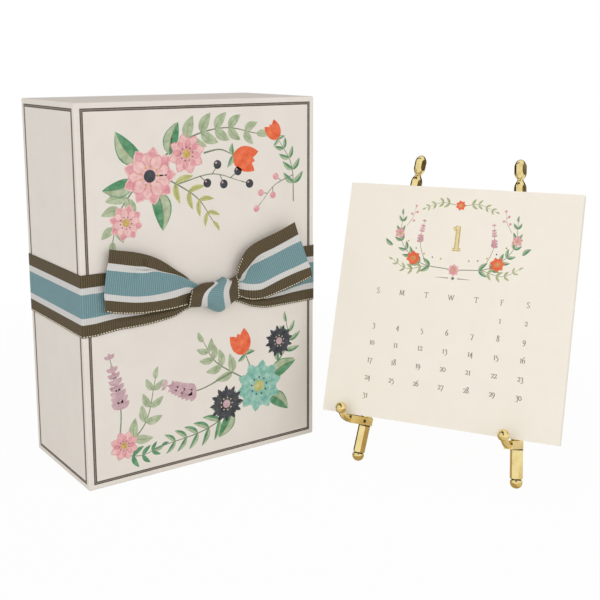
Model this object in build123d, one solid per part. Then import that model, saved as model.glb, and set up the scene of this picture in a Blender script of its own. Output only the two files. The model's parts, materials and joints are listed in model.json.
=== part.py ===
from build123d import *
import os
from math import atan2, cos, degrees, radians, sin, tan

# Boxed desk calendar: a keepsake box tied with a ribbon, and month cards standing on a brass easel.
# Millimetres. The origin is the middle of the box's base, +Z is up and the box's front faces -Y.

# Month cards, a deck of loose sheets that leans on the easel
card_side = 133.35
card_thickness = 0.4
card_gap = 0.05
card_count = 12
card_to_leg_gap = 0.1

# Keepsake box: a lid as deep as the box, and a tray that fills it from behind
box_width = 146.0
box_height = 204.0
box_depth = 73.0
lid_board = 2.0
lid_edge_radius = 0.8
tray_board = 1.8
tray_side_clearance = 0.9
tray_seat_clearance = 0.2
tray_front_clearance = 0.6
tray_back_recess = 0.5

# Ribbon round the lid, its ends turned in over the lid's rear rim
ribbon_width = 33.0
ribbon_thickness = 0.4
ribbon_turn_in = 14.0
ribbon_gathered_width = 17.0
ribbon_drop = 1.5
knot_right = 2.0
knot_drop = 2.0
knot_width = 30.0
knot_height = 19.0
knot_depth = 10.0
knot_corner_radius = 6.5
knot_crown_radius = 4.0
knot_to_tail_gap = 0.2

# Ribbon tails, each a strip that opens from the knot to a straight cut end
tail_thickness = 0.6
left_tail_length = 50.5
left_tail_rise = 16.0
left_tail_tilt = 6.5
left_tail_stand_off = 3.0
right_tail_length = 46.5
right_tail_rise = 24.0
right_tail_tilt = 19.5
right_tail_stand_off = 9.0
tail_root_width = 15.0
tail_root_bow = 5.0
tail_root_stand_off = 4.0
# Each row: place along the tail, then opening, bow and stand-off there
tail_section_shares = (
    (0.0, 0.0, 1.0, 0.0),
    (0.3, 0.72, 1.0, 0.45),
    (0.65, 1.0, 0.6, 0.8),
    (1.0, 1.0, 0.25, 1.0),
)

# Where the easel stands: the middle of the cards' lower edge, from the box's right front corner
easel_right = 18.2
easel_front = 88.6
easel_turn = -59.5
easel_lean = 19.0

# Easel legs, turned from hexagon bar, closer together at the top
leg_flats = 6.0
bar_chamfer = 0.5
hexagon_corner_share = 1 / cos(radians(30))
foot_spacing = 90.0
tip_spacing = 57.4
foot_drop = 22.6
finial_rise = 19.8
foot_ball_radius = 3.3
foot_ball_top = 1.1
foot_seat = 1.7
spigot_radius = 1.7
spigot_engagement = 9.0
spigot_clearance = 0.05
spigot_tip_clearance = 0.3
stud_radius = 1.4
stud_length = 6.0

# Finials, a bead under a long bulb
finial_height = 21.5
finial_radius = 3.5
finial_neck_radius = 1.65
finial_tip_radius = 0.5
bead_middle_share = 0.24
bead_top_share = 0.44
bulb_start_share = 0.465
bulb_shoulder_share = 0.535
bulb_widest_share = 0.7
bulb_crown_share = 0.86
bulb_crown_radius_share = 0.91
bulb_dome_share = 0.965
bulb_dome_radius_share = 0.53
bulb_top_share = 0.99
bulb_top_radius_share = 0.3
bulb_shoulder_radius_share = 0.76

# Arms that carry the cards: a flat block on the leg's spigot, a rod that curves up, and a ball
# The block's top lies lower than the cards by the drop, so that a turned arm on a sloping leg clears them
arm_height = 4.4
arm_drop = 0.85
arm_width = 5.0
arm_block_length = 12.0
arm_heel_length = 3.3
arm_straight = 12.4
arm_rod_radius = 1.9
arm_bend_radius = 6.0
arm_bend = 60.0
arm_ball_radius = 3.2
arm_ball_seat = 2.4
arm_end_clearance = 0.06
set_screw_radius = 1.0
set_screw_depth = 0.6
set_screw_ahead = 2.4
left_arm_turn = -34.0
right_arm_turn = -10.5

# Crossbars behind the legs, each held by a slotted screw at both ends
crossbar_height = 9.0
crossbar_thickness = 3.0
crossbar_overhang = 4.5
upper_crossbar_level = 116.0
lower_crossbar_level = 36.0
screw_radius = 1.25
screw_depth = 2.4
screw_tip_clearance = 0.3
screw_head_radius = 2.3
screw_head_height = 1.3
screw_head_edge = 0.6
screw_slot_width = 0.6
screw_slot_depth = 0.6
screw_clearance = 0.05

# Rear leg on a pinned hinge at the upper crossbar
bracket_width = 9.6
bracket_height = 9.0
bracket_base = 1.5
bracket_ear = 2.3
hinge_stand_off = 4.6
hinge_pin_radius = 1.25
hinge_press_clearance = 0.02
hinge_running_clearance = 0.05
hinge_side_clearance = 0.2
hinge_head_radius = 2.2
hinge_head_height = 0.9
hinge_stop_clearance = 0.1
rear_leg_flats = 5.0
rear_leg_spread = 12.0
rear_eye_length = 6.6
rear_heel_length = 5.4
rear_foot_stud_radius = 1.4
rear_foot_stud_length = 6.0

# Extra length that carries a cut through a face
overrun = 1.0

# Sizes worked out from those above
deck_thickness = card_count * card_thickness + (card_count - 1) * card_gap
leg_setback = deck_thickness + card_to_leg_gap + leg_flats / 2
leg_span = foot_drop + card_side + finial_rise
leg_splay = degrees(atan2((foot_spacing - tip_spacing) / 2, leg_span))
leg_length = leg_span / cos(radians(leg_splay))
leg_corner_radius = leg_flats / 2 * hexagon_corner_share
arm_top = (foot_drop - arm_drop) / cos(radians(leg_splay))
arm_low = arm_top - arm_height
lower_bar_top = arm_low - arm_end_clearance
shaft_low = arm_top + arm_end_clearance
shaft_top = leg_length - finial_height
leg_rear = leg_setback + leg_flats / 2
crossbar_rear = leg_rear + crossbar_thickness
bracket_rear = crossbar_rear + bracket_base
hinge_setback = bracket_rear + hinge_stand_off
rear_opening = easel_lean + rear_leg_spread
eye_width = bracket_width - 2 * bracket_ear - 2 * hinge_side_clearance
lean_sine = sin(radians(easel_lean))
lean_cosine = cos(radians(easel_lean))
deck_height = foot_ball_radius + foot_drop * lean_cosine + leg_setback * lean_sine
hinge_height = deck_height + upper_crossbar_level * lean_cosine - hinge_setback * lean_sine
rear_leg_length = (hinge_height - foot_ball_radius) / cos(radians(rear_leg_spread))
ribbon_level = box_height / 2 - ribbon_drop
knot_level = ribbon_level - knot_drop
box_front = -box_depth / 2

# Places of the sub-assemblies
deck_middle = (box_width / 2 + easel_right, box_front - easel_front, deck_height)
easel_place = Pos(*deck_middle) * Rot(0, 0, easel_turn) * Rot(-easel_lean, 0, 0)
leg_places = {
    "left": Pos(-foot_spacing / 2, leg_setback, -foot_drop) * Rot(0, leg_splay, 0),
    "right": Pos(foot_spacing / 2, leg_setback, -foot_drop) * Rot(0, -leg_splay, 0),
}
hinge_place = Pos(0, hinge_setback, upper_crossbar_level)


def block(low, high):
    """Box between two opposite corners."""
    sizes = [b - a for a, b in zip(low, high)]
    middle = [(a + b) / 2 for a, b in zip(low, high)]
    return Pos(*middle) * Box(*sizes)


def turned(*edges):
    """Solid turned about Z from a closed outline drawn as (radius, height)."""
    return revolve(Plane.XZ * make_face(edges), Axis.Z)


def hexagon_bar(flats, low, high):
    """Hexagon bar along Z with flats towards -Y and +Y."""
    section = RegularPolygon(flats / 2, 6, major_radius=False)
    return extrude(Pos(0, 0, low) * section, high - low)


def chamfered_bar(flats, low, high):
    """Hexagon bar whose two ends are turned to a cone."""
    corner = flats / 2 * hexagon_corner_share
    end = corner - bar_chamfer
    outline = Polyline((0, low), (end, low), (corner, low + bar_chamfer), (corner, high - bar_chamfer),
                       (end, high), (0, high), close=True)
    return hexagon_bar(flats, low, high) & turned(*outline.edges())


def upright(radius, low, high):
    """Round bar along Z between two heights."""
    return Pos(0, 0, (low + high) / 2) * Cylinder(radius, high - low)


def across(radius, low, high):
    """Round bar along X between two places."""
    return Rot(0, 90, 0) * upright(radius, low, high)


def fore_and_aft(radius, low, high):
    """Round bar along Y between two places."""
    return Rot(-90, 0, 0) * upright(radius, low, high)


def leg_half_spacing(level):
    """Distance of a leg's axis from the easel's middle at a height above the cards' lower edge."""
    return foot_spacing / 2 - (level + foot_drop) * tan(radians(leg_splay))


def box_lid():
    """Lid with a front and four walls, open at the back."""
    outer = block((-box_width / 2, box_front, 0), (box_width / 2, -box_front, box_height))
    front_edges = outer.edges().group_by(Axis.Y)[0]
    long_edges = outer.edges().filter_by(Axis.Y)
    outer = fillet(front_edges + long_edges, lid_edge_radius)
    inner = block((-box_width / 2 + lid_board, box_front + lid_board, lid_board),
                  (box_width / 2 - lid_board, -box_front + overrun, box_height - lid_board))
    return outer - inner


def box_tray():
    """Tray with a back and four walls, open towards the lid's front."""
    side = box_width / 2 - lid_board - tray_side_clearance
    base = lid_board + tray_seat_clearance
    top = box_height - lid_board - tray_side_clearance
    front = box_front + lid_board + tray_front_clearance
    back = -box_front - tray_back_recess
    outer = block((-side, front, base), (side, back, top))
    inner = block((-side + tray_board, front - overrun, base + tray_board),
                  (side - tray_board, back - tray_board, top - tray_board))
    return outer - inner


def ribbon_band():
    """Band over the lid's front and sides, drawn narrower towards the knot."""
    side = box_width / 2
    low = ribbon_level - ribbon_width / 2
    high = ribbon_level + ribbon_width / 2
    rear = -box_front + ribbon_thickness
    wrap = block((-side - ribbon_thickness, box_front - ribbon_thickness, low),
                 (side + ribbon_thickness, rear, high))
    wrap -= block((-side, box_front, low), (side, -box_front, high))
    between = side - lid_board - ribbon_thickness
    wrap -= block((-between, -box_front, low), (between, rear, high))
    turned_in = block((between, -box_front - ribbon_turn_in, low), (between + ribbon_thickness, rear, high))
    wrap += turned_in
    wrap += mirror(turned_in, Plane.YZ)
    gather = (ribbon_width - ribbon_gathered_width) / 2
    waist = knot_width / 2
    for edge, step in ((low, gather), (high, -gather)):
        bite = Polyline((-side, edge), (knot_right - waist, edge + step), (knot_right + waist, edge + step),
                        (side, edge), close=True)
        wrap -= extrude(Plane.XZ.offset(-box_front) * make_face(bite), ribbon_thickness)
    return wrap


def ribbon_knot():
    """Rounded knot on the band, near the middle of the lid's front."""
    section = RectangleRounded(knot_width, knot_height, knot_corner_radius)
    back = Plane.XZ.offset(-box_front + ribbon_thickness)
    knot = Pos(knot_right, 0, knot_level) * extrude(back * section, knot_depth)
    return fillet(knot.edges().group_by(Axis.Y)[0], knot_crown_radius)


def strip_section(width, bow, stand_off):
    """Section across a ribbon tail: a bowed strip, drawn across the tail and away from the lid."""
    half = width / 2
    inside = ThreePointArc((-half, stand_off), (0, stand_off + bow), (half, stand_off))
    outside = ThreePointArc((-half, stand_off + tail_thickness), (0, stand_off + bow + tail_thickness),
                            (half, stand_off + tail_thickness))
    return make_face([inside, outside, Line(inside @ 0, outside @ 0), Line(inside @ 1, outside @ 1)])


def ribbon_tail(length, rise, tilt, stand_off):
    """Tail that leaves a knot at X zero to its right and opens towards its straight cut end."""
    start = Vector(knot_width / 2 + knot_to_tail_gap, box_front - ribbon_thickness, knot_level)
    along = Vector(cos(radians(rise)), 0, sin(radians(rise)))
    sections = []
    for station, width, bow, lift in tail_section_shares:
        slope = radians(tilt * width)
        across_tail = Vector(-sin(slope), 0, cos(slope))
        frame = Plane(start + along * (length * station), x_dir=across_tail,
                      z_dir=across_tail.cross(Vector(0, -1, 0)))
        strip_width = tail_root_width + (ribbon_width - tail_root_width) * width
        lifted = tail_root_stand_off + (stand_off - tail_root_stand_off) * lift
        sections.append(frame * strip_section(strip_width, tail_root_bow * bow, lifted))
    return loft(sections)


def leg():
    """Main bar of a leg, with a spigot below for the arm and foot, and a stud above for the finial."""
    shaft = chamfered_bar(leg_flats, shaft_low, shaft_top)
    spigot = upright(spigot_radius, lower_bar_top - spigot_engagement, shaft_low)
    stud = upright(stud_radius, shaft_top, shaft_top + stud_length)
    return shaft + spigot + stud


def screw_hole(level):
    """Blind hole for a crossbar screw in the legs' rear flats, in the easel's frame."""
    hole = fore_and_aft(screw_radius + screw_clearance, leg_rear - screw_depth - screw_tip_clearance,
                        crossbar_rear + overrun)
    places = [Pos(sign * leg_half_spacing(level), 0, level) for sign in (-1, 1)]
    return [place * hole for place in places]


def finial():
    """Bead, neck and bulb turned from hexagon bar, so that the widest parts keep their flats."""
    height = finial_height
    neck = finial_neck_radius
    bead = ThreePointArc((leg_corner_radius - bar_chamfer, 0), (finial_radius, height * bead_middle_share),
                         (neck, height * bead_top_share))
    throat = Line(bead @ 1, (neck, height * bulb_start_share))
    shoulder = ThreePointArc(throat @ 1,
                             (finial_radius * bulb_shoulder_radius_share, height * bulb_shoulder_share),
                             (finial_radius, height * bulb_widest_share))
    crown = ThreePointArc(shoulder @ 1,
                          (finial_radius * bulb_crown_radius_share, height * bulb_crown_share),
                          (finial_radius * bulb_dome_radius_share, height * bulb_dome_share))
    dome = ThreePointArc(crown @ 1,
                         (finial_radius * bulb_top_radius_share, height * bulb_top_share),
                         (finial_tip_radius, height))
    tip = Line(dome @ 1, (0, height))
    core = Line(tip @ 1, (0, 0))
    base = Line(core @ 1, bead @ 0)
    bar = hexagon_bar(leg_flats, -overrun, height + overrun)
    shape = turned(base, bead, throat, shoulder, crown, dome, tip, core) & bar
    bore = upright(stud_radius + spigot_clearance, -overrun, stud_length + spigot_tip_clearance)
    return Pos(0, 0, shaft_top) * (shape - bore)


def arm():
    """Arm at the leg's axis, pointing to -Y: block with a set screw's hole in its +X side, bent rod and ball."""
    middle = (arm_low + arm_top) / 2
    flat = block((-arm_width / 2, -arm_block_length, arm_low), (arm_width / 2, arm_heel_length, arm_top))
    bend = radians(arm_bend)
    straight = Line((arm_block_length / 2, 0), (arm_straight, 0))
    arc = TangentArc(straight @ 1, (arm_straight + arm_bend_radius * sin(bend),
                                    arm_bend_radius * (1 - cos(bend))), tangent=straight % 1)
    route = Plane((0, 0, middle), x_dir=(0, -1, 0), z_dir=(-1, 0, 0)) * Wire([straight, arc])
    rod = sweep(Plane(route @ 0, z_dir=route % 0) * Circle(arm_rod_radius), route)
    ball_place = route @ 1 + (route % 1) * arm_ball_seat
    ball = Pos(*ball_place) * Sphere(arm_ball_radius)
    bore = upright(spigot_radius + spigot_clearance, arm_low - overrun, arm_top + overrun)
    hole = Pos(0, -set_screw_ahead, middle) * across(set_screw_radius, arm_width / 2 - set_screw_depth,
                                                     arm_width / 2 + overrun)
    return flat + rod + ball - bore - hole


def foot():
    """Lower bar of a leg with its ball foot, screwed onto the leg's spigot from below."""
    bar = chamfered_bar(leg_flats, foot_seat, lower_bar_top)
    neck = upright(spigot_radius, 0, foot_seat)
    bore = upright(spigot_radius + spigot_clearance,
                   lower_bar_top - spigot_engagement - spigot_tip_clearance, lower_bar_top + overrun)
    ball = Sphere(foot_ball_radius) - upright(foot_ball_radius, foot_ball_top, foot_ball_radius + overrun)
    return bar - bore + neck + ball


def crossbar(level):
    """Flat bar with round ends behind both legs."""
    length = 2 * (leg_half_spacing(level) + crossbar_overhang)
    section = SlotOverall(length, crossbar_height)
    bar = extrude(Plane((0, leg_rear, level), x_dir=(1, 0, 0), z_dir=(0, 1, 0)) * section, crossbar_thickness)
    return bar - screw_hole(level)


def crossbar_screw():
    """Slotted screw along Y, its head's seat at Y = 0 and its shank towards -Y."""
    shank = fore_and_aft(screw_radius, -crossbar_thickness - screw_depth, 0)
    head = fore_and_aft(screw_head_radius, 0, screw_head_height)
    head = fillet(head.edges().group_by(Axis.Y)[-1], screw_head_edge)
    slot = block((-screw_head_radius, screw_head_height - screw_slot_depth, -screw_slot_width / 2),
                 (screw_head_radius, screw_head_height + overrun, screw_slot_width / 2))
    return shank + (head - slot)


def crossbar_screws():
    """The four screws that hold the two crossbars, in the easel's frame."""
    screws = []
    for level in (upper_crossbar_level, lower_crossbar_level):
        for sign in (-1, 1):
            screws.append(Pos(sign * leg_half_spacing(level), crossbar_rear, level) * crossbar_screw())
    return screws


def hinge_bracket():
    """Plate with two ears on the upper crossbar, drawn about the hinge's axis."""
    half = bracket_width / 2
    base = block((-half, -hinge_stand_off - bracket_base, -bracket_height / 2),
                 (half, -hinge_stand_off, bracket_height / 2))
    ears = block((-half, -hinge_stand_off, -bracket_height / 2), (half, 0, bracket_height / 2))
    ears += across(bracket_height / 2, -half, half)
    gap = half - bracket_ear
    ears -= block((-gap, -hinge_stand_off, -bracket_height), (gap, bracket_height, bracket_height))
    hole = across(hinge_pin_radius + hinge_press_clearance, -half - overrun, half + overrun)
    return base + ears - hole


def hinge_pin():
    """Headed pin through the bracket's ears."""
    half = bracket_width / 2
    pin = across(hinge_pin_radius, -half, half)
    return pin + across(hinge_head_radius, half, half + hinge_head_height) \
        + across(hinge_head_radius, -half - hinge_head_height, -half)


def rear_leg():
    """Rear leg hanging from the hinge's axis, with a heel that stops against the bracket when open."""
    foot_top = -rear_leg_length + foot_seat
    bar = chamfered_bar(rear_leg_flats, foot_top, -rear_eye_length)
    half = rear_leg_flats / 2
    eye = block((-eye_width / 2, -half, -rear_eye_length), (eye_width / 2, half, rear_heel_length))
    hole = across(hinge_pin_radius + hinge_running_clearance, -eye_width, eye_width)
    reach = rear_eye_length + rear_heel_length
    stop = block((-eye_width, -reach, -reach), (eye_width, hinge_stop_clearance - hinge_stand_off, reach))
    socket = upright(rear_foot_stud_radius + spigot_clearance, foot_top - overrun,
                     foot_top + rear_foot_stud_length + spigot_tip_clearance)
    return bar + eye - hole - Rot(-rear_opening, 0, 0) * stop - socket


def rear_foot():
    """Ball foot with the stud that screws into the rear leg."""
    low = -rear_leg_length
    above = upright(foot_ball_radius, foot_seat, foot_ball_radius + overrun)
    ball = Pos(0, 0, low) * (Sphere(foot_ball_radius) - above)
    stud = upright(rear_foot_stud_radius, low, low + foot_seat + rear_foot_stud_length)
    return ball + stud


def month_card(index):
    """One card of the deck, counted from the front."""
    front = index * (card_thickness + card_gap)
    return block((-card_side / 2, front, 0), (card_side / 2, front + card_thickness, card_side))


# Every piece by name, in its place
rear_place = easel_place * hinge_place
rear_leg_place = rear_place * Rot(rear_opening, 0, 0)
leg_holes = screw_hole(upper_crossbar_level) + screw_hole(lower_crossbar_level)
left_tail = ribbon_tail(left_tail_length, left_tail_rise, left_tail_tilt, left_tail_stand_off)
right_tail = ribbon_tail(right_tail_length, right_tail_rise, right_tail_tilt, right_tail_stand_off)
pieces = {
    "box_lid": box_lid(),
    "box_tray": box_tray(),
    "ribbon_band": ribbon_band(),
    "ribbon_knot": ribbon_knot(),
    "ribbon_tail_left": Pos(knot_right, 0, 0) * mirror(left_tail, Plane.YZ),
    "ribbon_tail_right": Pos(knot_right, 0, 0) * right_tail,
    "upper_crossbar": easel_place * crossbar(upper_crossbar_level),
    "lower_crossbar": easel_place * crossbar(lower_crossbar_level),
    "crossbar_screws": Compound([easel_place * screw for screw in crossbar_screws()]),
    "hinge_bracket": rear_place * hinge_bracket(),
    "hinge_pin": rear_place * hinge_pin(),
    "rear_leg": rear_leg_place * rear_leg(),
    "rear_foot": rear_leg_place * rear_foot(),
}
arms = {"left": arm(), "right": mirror(arm(), Plane.YZ)}
for side, turn in (("left", left_arm_turn), ("right", right_arm_turn)):
    place = easel_place * leg_places[side]
    pieces[f"{side}_leg"] = easel_place * (leg_places[side] * leg() - leg_holes)
    pieces[f"{side}_finial"] = place * finial()
    pieces[f"{side}_arm"] = place * Rot(0, 0, turn) * arms[side]
    pieces[f"{side}_foot"] = place * foot()
for index in range(card_count):
    pieces[f"month_card_{index + 1:02d}"] = easel_place * month_card(index)

os.makedirs("parts", exist_ok=True)
for name, piece in pieces.items():
    export_step(piece, os.path.join("parts", f"{name}.step"))

# Axes of the joints, for whoever sets the parts in motion
joint_places = {
    "easel": easel_place,
    "rear_leg": rear_place,
    "left_arm": easel_place * leg_places["left"],
    "right_arm": easel_place * leg_places["right"],
}
for name, place in joint_places.items():
    frame = Plane(place)
    for word, vector in (("at", frame.origin), ("x", frame.x_dir), ("y", frame.y_dir), ("z", frame.z_dir)):
        print(name, word, *(round(value, 5) for value in vector))
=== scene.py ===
"""Boxed desk calendar: paper, ribbon, print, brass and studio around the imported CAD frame."""

import json
import logging
import math
from dataclasses import dataclass, field
from enum import Enum
from typing import Any, Sequence

import bpy
import numpy as np
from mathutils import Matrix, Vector


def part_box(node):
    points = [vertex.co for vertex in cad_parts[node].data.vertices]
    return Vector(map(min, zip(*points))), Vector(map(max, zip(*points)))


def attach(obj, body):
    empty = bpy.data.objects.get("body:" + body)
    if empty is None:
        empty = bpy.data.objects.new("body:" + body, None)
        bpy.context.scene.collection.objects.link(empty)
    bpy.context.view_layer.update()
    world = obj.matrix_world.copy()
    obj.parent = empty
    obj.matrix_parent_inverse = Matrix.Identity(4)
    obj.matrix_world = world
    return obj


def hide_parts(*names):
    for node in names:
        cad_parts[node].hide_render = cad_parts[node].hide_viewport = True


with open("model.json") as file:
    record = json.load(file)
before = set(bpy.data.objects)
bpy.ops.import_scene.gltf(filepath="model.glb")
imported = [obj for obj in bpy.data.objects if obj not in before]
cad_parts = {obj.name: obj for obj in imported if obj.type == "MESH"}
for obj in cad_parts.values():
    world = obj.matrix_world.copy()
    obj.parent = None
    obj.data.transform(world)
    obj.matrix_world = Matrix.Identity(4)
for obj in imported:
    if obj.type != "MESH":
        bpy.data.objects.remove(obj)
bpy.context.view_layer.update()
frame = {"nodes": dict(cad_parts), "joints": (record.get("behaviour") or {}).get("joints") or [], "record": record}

LOG = logging.getLogger("desk_calendar")
MM = 0.001
TINY = 1e-12
Points = Sequence[Sequence[float]]


def linear(colour: str) -> tuple[float, ...]:
    """Turns an sRGB hex colour into linear light.

    Args:
        colour: The colour as "#RRGGBB".

    Returns:
        Red, green, blue and alpha for a shader socket.
    """
    shares = [int(colour[i:i + 2], 16) / 255 for i in (1, 3, 5)]
    return tuple(c / 12.92 if c <= 0.04045 else ((c + 0.055) / 1.055) ** 2.4 for c in shares) + (1.0,)


def set_up(tree: bpy.types.NodeTree, node: bpy.types.Node, settings: dict[Any, Any] | None = None,
           links: dict[Any, bpy.types.NodeSocket] | None = None) -> bpy.types.Node:
    """Sets a node's values and links its inputs.

    Args:
        tree: The node tree that the node is in.
        node: The node.
        settings: Values by property name, or by input name or number.
        links: Output sockets by input name or number.

    Returns:
        The same node.
    """
    for key, value in (settings or {}).items():
        if isinstance(key, str) and hasattr(node, key):
            setattr(node, key, value)
        else:
            node.inputs[key].default_value = value
    for key, socket in (links or {}).items():
        tree.links.new(socket, node.inputs[key])
    return node


def add(tree: bpy.types.NodeTree, kind: str, settings: dict[Any, Any] | None = None,
        links: dict[Any, bpy.types.NodeSocket] | None = None) -> bpy.types.Node:
    """Adds a node of a kind, given without "ShaderNode", and sets it up."""
    return set_up(tree, tree.nodes.new("ShaderNode" + kind), settings, links)


def smooth(points: Points, per_span: int, closed: bool = False) -> np.ndarray:
    """Draws a smooth curve through points.

    Args:
        points: The points that the curve passes through, in any number of dimensions.
        per_span: How many steps lie between two points.
        closed: Whether the curve runs back to its first point.

    Returns:
        The points of the curve, without a repeat of the first if it is closed.
    """
    p = np.asarray(points, float)
    if len(p) == 2:
        return p
    ends = (p[-1:], p[:2]) if closed else (2 * p[:1] - p[1:2], 2 * p[-1:] - p[-2:-1])
    p = np.concatenate([ends[0], p, ends[1]])
    t = np.linspace(0, 1, per_span, endpoint=False)[:, None]
    spans = []
    for a, b, c, d in zip(p, p[1:], p[2:], p[3:]):
        square, cube = 2 * a - 5 * b + 4 * c - d, 3 * b - a - 3 * c + d
        spans.append(0.5 * (2 * b + (c - a) * t + square * t ** 2 + cube * t ** 3))
    return np.concatenate(spans if closed else spans + [p[-2:-1]])


def run_of(points: np.ndarray) -> np.ndarray:
    """Returns the distance run along a line of points, at each of them."""
    return np.concatenate([[0.0], np.cumsum(np.linalg.norm(np.diff(points, axis=0), axis=1))])


def circle(count: int) -> np.ndarray:
    """Returns points round a unit circle, anticlockwise from +X."""
    angles = np.linspace(0, 2 * np.pi, count, endpoint=False)
    return np.stack([np.cos(angles), np.sin(angles)], 1)


def tube(rims: int, sides: int, start: int = 0) -> list[list[int]]:
    """Numbers the faces of a closed tube.

    Args:
        rims: Number of rims, in order along the tube.
        sides: Number of corners of a rim.
        start: Number of the tube's first corner.

    Returns:
        The corner numbers of its side faces, then of its two end faces.
    """
    faces = []
    last = start + (rims - 1) * sides
    for a in range(start, last, sides):
        faces += [[a + i, a + (i + 1) % sides, a + sides + (i + 1) % sides, a + sides + i] for i in range(sides)]
    return faces + [list(range(start + sides - 1, start - 1, -1)), list(range(last, last + sides))]


def box_of(node: str) -> tuple[np.ndarray, ...]:
    """Returns the low and the high corner of a CAD node's box, in millimetres."""
    return tuple(np.array(corner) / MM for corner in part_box(node))


def link(name: str, data: bpy.types.ID) -> bpy.types.Object:
    """Puts a mesh, a lamp or a camera in the scene.

    Args:
        name: The object's name.
        data: What the object shows.

    Returns:
        The new object.
    """
    made = bpy.data.objects.new(name, data)
    bpy.context.scene.collection.objects.link(made)
    return made


def new_object(name: str, body: str, verts: Points, faces: Sequence[Sequence[int]],
               rounded: bool = False) -> bpy.types.Object:
    """Makes a mesh object that rides on a CAD body.

    Args:
        name: The piece's name.
        body: The CAD body that carries it.
        verts: Corners in millimetres, in the row frame.
        faces: Corner numbers of each face.
        rounded: Whether the shading runs smoothly over its edges.

    Returns:
        The object, with no material yet.
    """
    mesh = bpy.data.meshes.new(name)
    mesh.from_pydata((np.asarray(verts) * MM).tolist(), [], faces, shade_flat=not rounded)
    mesh.validate()
    piece = link(name, mesh)
    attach(piece, body)
    return piece


@dataclass(frozen=True)
class Finish:
    """A surface finish, made once as a material of its own name."""

    name: str

    def lay(self, tree: bpy.types.NodeTree, shader: bpy.types.Node) -> None:
        """Adds the finish's own nodes before the shader."""
        raise NotImplementedError

    def material(self) -> bpy.types.Material:
        """Makes the finish's material at the first call and finds it at later ones.

        Returns:
            The material.
        """
        found = bpy.data.materials.get(self.name)
        if found is None:
            found = bpy.data.materials.new(self.name)
            found.use_nodes = True
            self.lay(found.node_tree, found.node_tree.nodes["Principled BSDF"])
        return found

    def dress(self, piece: bpy.types.Object) -> None:
        """Puts the finish on every material slot of a piece, and reports the piece.

        Args:
            piece: The object to dress.
        """
        if not piece.material_slots:
            piece.data.materials.append(self.material())
        for slot in piece.material_slots:
            slot.material = self.material()
        LOG.info("%s: %s", piece.name, self.name)


@dataclass(frozen=True)
class Fibrous(Finish):
    """Paper, pressed fibre or thread, of short matted fibres: a soft matt face with faint clouds and a felt tooth."""

    pale: str
    deep: str
    cloud_mm: float = 9.0
    # A single fibre is about 0.05 mm thick, too fine to show, so the tooth is drawn as coarse as clumps of them
    fibre_mm: float = 0.5
    tooth_mm: float = 0.02
    rough: tuple[float, float] = (0.62, 0.78)
    fibre_share: float = 0.45

    def lay(self, tree: bpy.types.NodeTree, shader: bpy.types.Node) -> None:
        """Adds clouds in the colour, and fibres in the gloss and the bump.

        Args:
            tree: The material's node tree.
            shader: Its shader.
        """
        place = add(tree, "TexCoord").outputs["Object"]
        clouds = add(tree, "TexNoise", {"Scale": 1 / (self.cloud_mm * MM), "Detail": 4.0}, {"Vector": place})
        fibres = add(tree, "TexNoise", {"Scale": 1 / (self.fibre_mm * MM), "Detail": 5.0, "Distortion": 0.8},
                     {"Vector": place}).outputs["Fac"]
        both = add(tree, "Math", {"operation": "MULTIPLY_ADD", 1: self.fibre_share},
                   {0: fibres, 2: clouds.outputs["Fac"]})
        tone = add(tree, "MapRange", {"From Min": 0.5, "From Max": 0.95}, {"Value": both.outputs[0]})
        tint = add(tree, "Mix", {"data_type": "RGBA", 6: linear(self.pale), 7: linear(self.deep)},
                   {0: tone.outputs[0]})
        gloss = add(tree, "MapRange", {"From Min": 0.3, "From Max": 0.7, "To Min": self.rough[0],
                                       "To Max": self.rough[1]}, {"Value": fibres})
        tooth = add(tree, "Bump", {"Strength": 0.5, "Distance": self.tooth_mm * MM}, {"Height": fibres})
        set_up(tree, shader, {"IOR": 1.45, "Specular IOR Level": 0.3},
               {"Base Color": tint.outputs[2], "Roughness": gloss.outputs[0], "Normal": tooth.outputs[0]})


@dataclass(frozen=True)
class TurnedMetal(Finish):
    """Turned metal bar, polished or blacked: a clear shine with fine turning lines and a few dull smears."""

    bright: str
    warm: str
    smear_mm: float = 5.0
    # Real turning lines lie about 0.05 mm apart, too fine to show, so they are drawn coarser
    line_mm: float = 0.35
    rough: tuple[float, float] = (0.1, 0.24)
    hair_mm: float = 0.02

    def lay(self, tree: bpy.types.NodeTree, shader: bpy.types.Node) -> None:
        """Adds warm smears in colour and gloss, and hair lines in the bump.

        Args:
            tree: The material's node tree.
            shader: Its shader.
        """
        place = add(tree, "TexCoord").outputs["Object"]
        smears = add(tree, "TexNoise", {"Scale": 1 / (self.smear_mm * MM), "Detail": 3.0},
                     {"Vector": place}).outputs["Fac"]
        lines = add(tree, "TexNoise", {"Scale": 1 / (self.line_mm * MM), "Detail": 2.0}, {"Vector": place})
        tone = add(tree, "MapRange", {"From Min": 0.4, "From Max": 0.75}, {"Value": smears})
        tint = add(tree, "Mix", {"data_type": "RGBA", 6: linear(self.bright), 7: linear(self.warm)},
                   {0: tone.outputs[0]})
        gloss = add(tree, "MapRange", {"From Min": 0.3, "From Max": 0.8, "To Min": self.rough[0],
                                       "To Max": self.rough[1]}, {"Value": smears})
        hair = add(tree, "Bump", {"Strength": 0.12, "Distance": self.hair_mm * MM}, {"Height": lines.outputs["Fac"]})
        set_up(tree, shader, {"Metallic": 1.0},
               {"Base Color": tint.outputs[2], "Roughness": gloss.outputs[0], "Normal": hair.outputs[0]})


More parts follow.
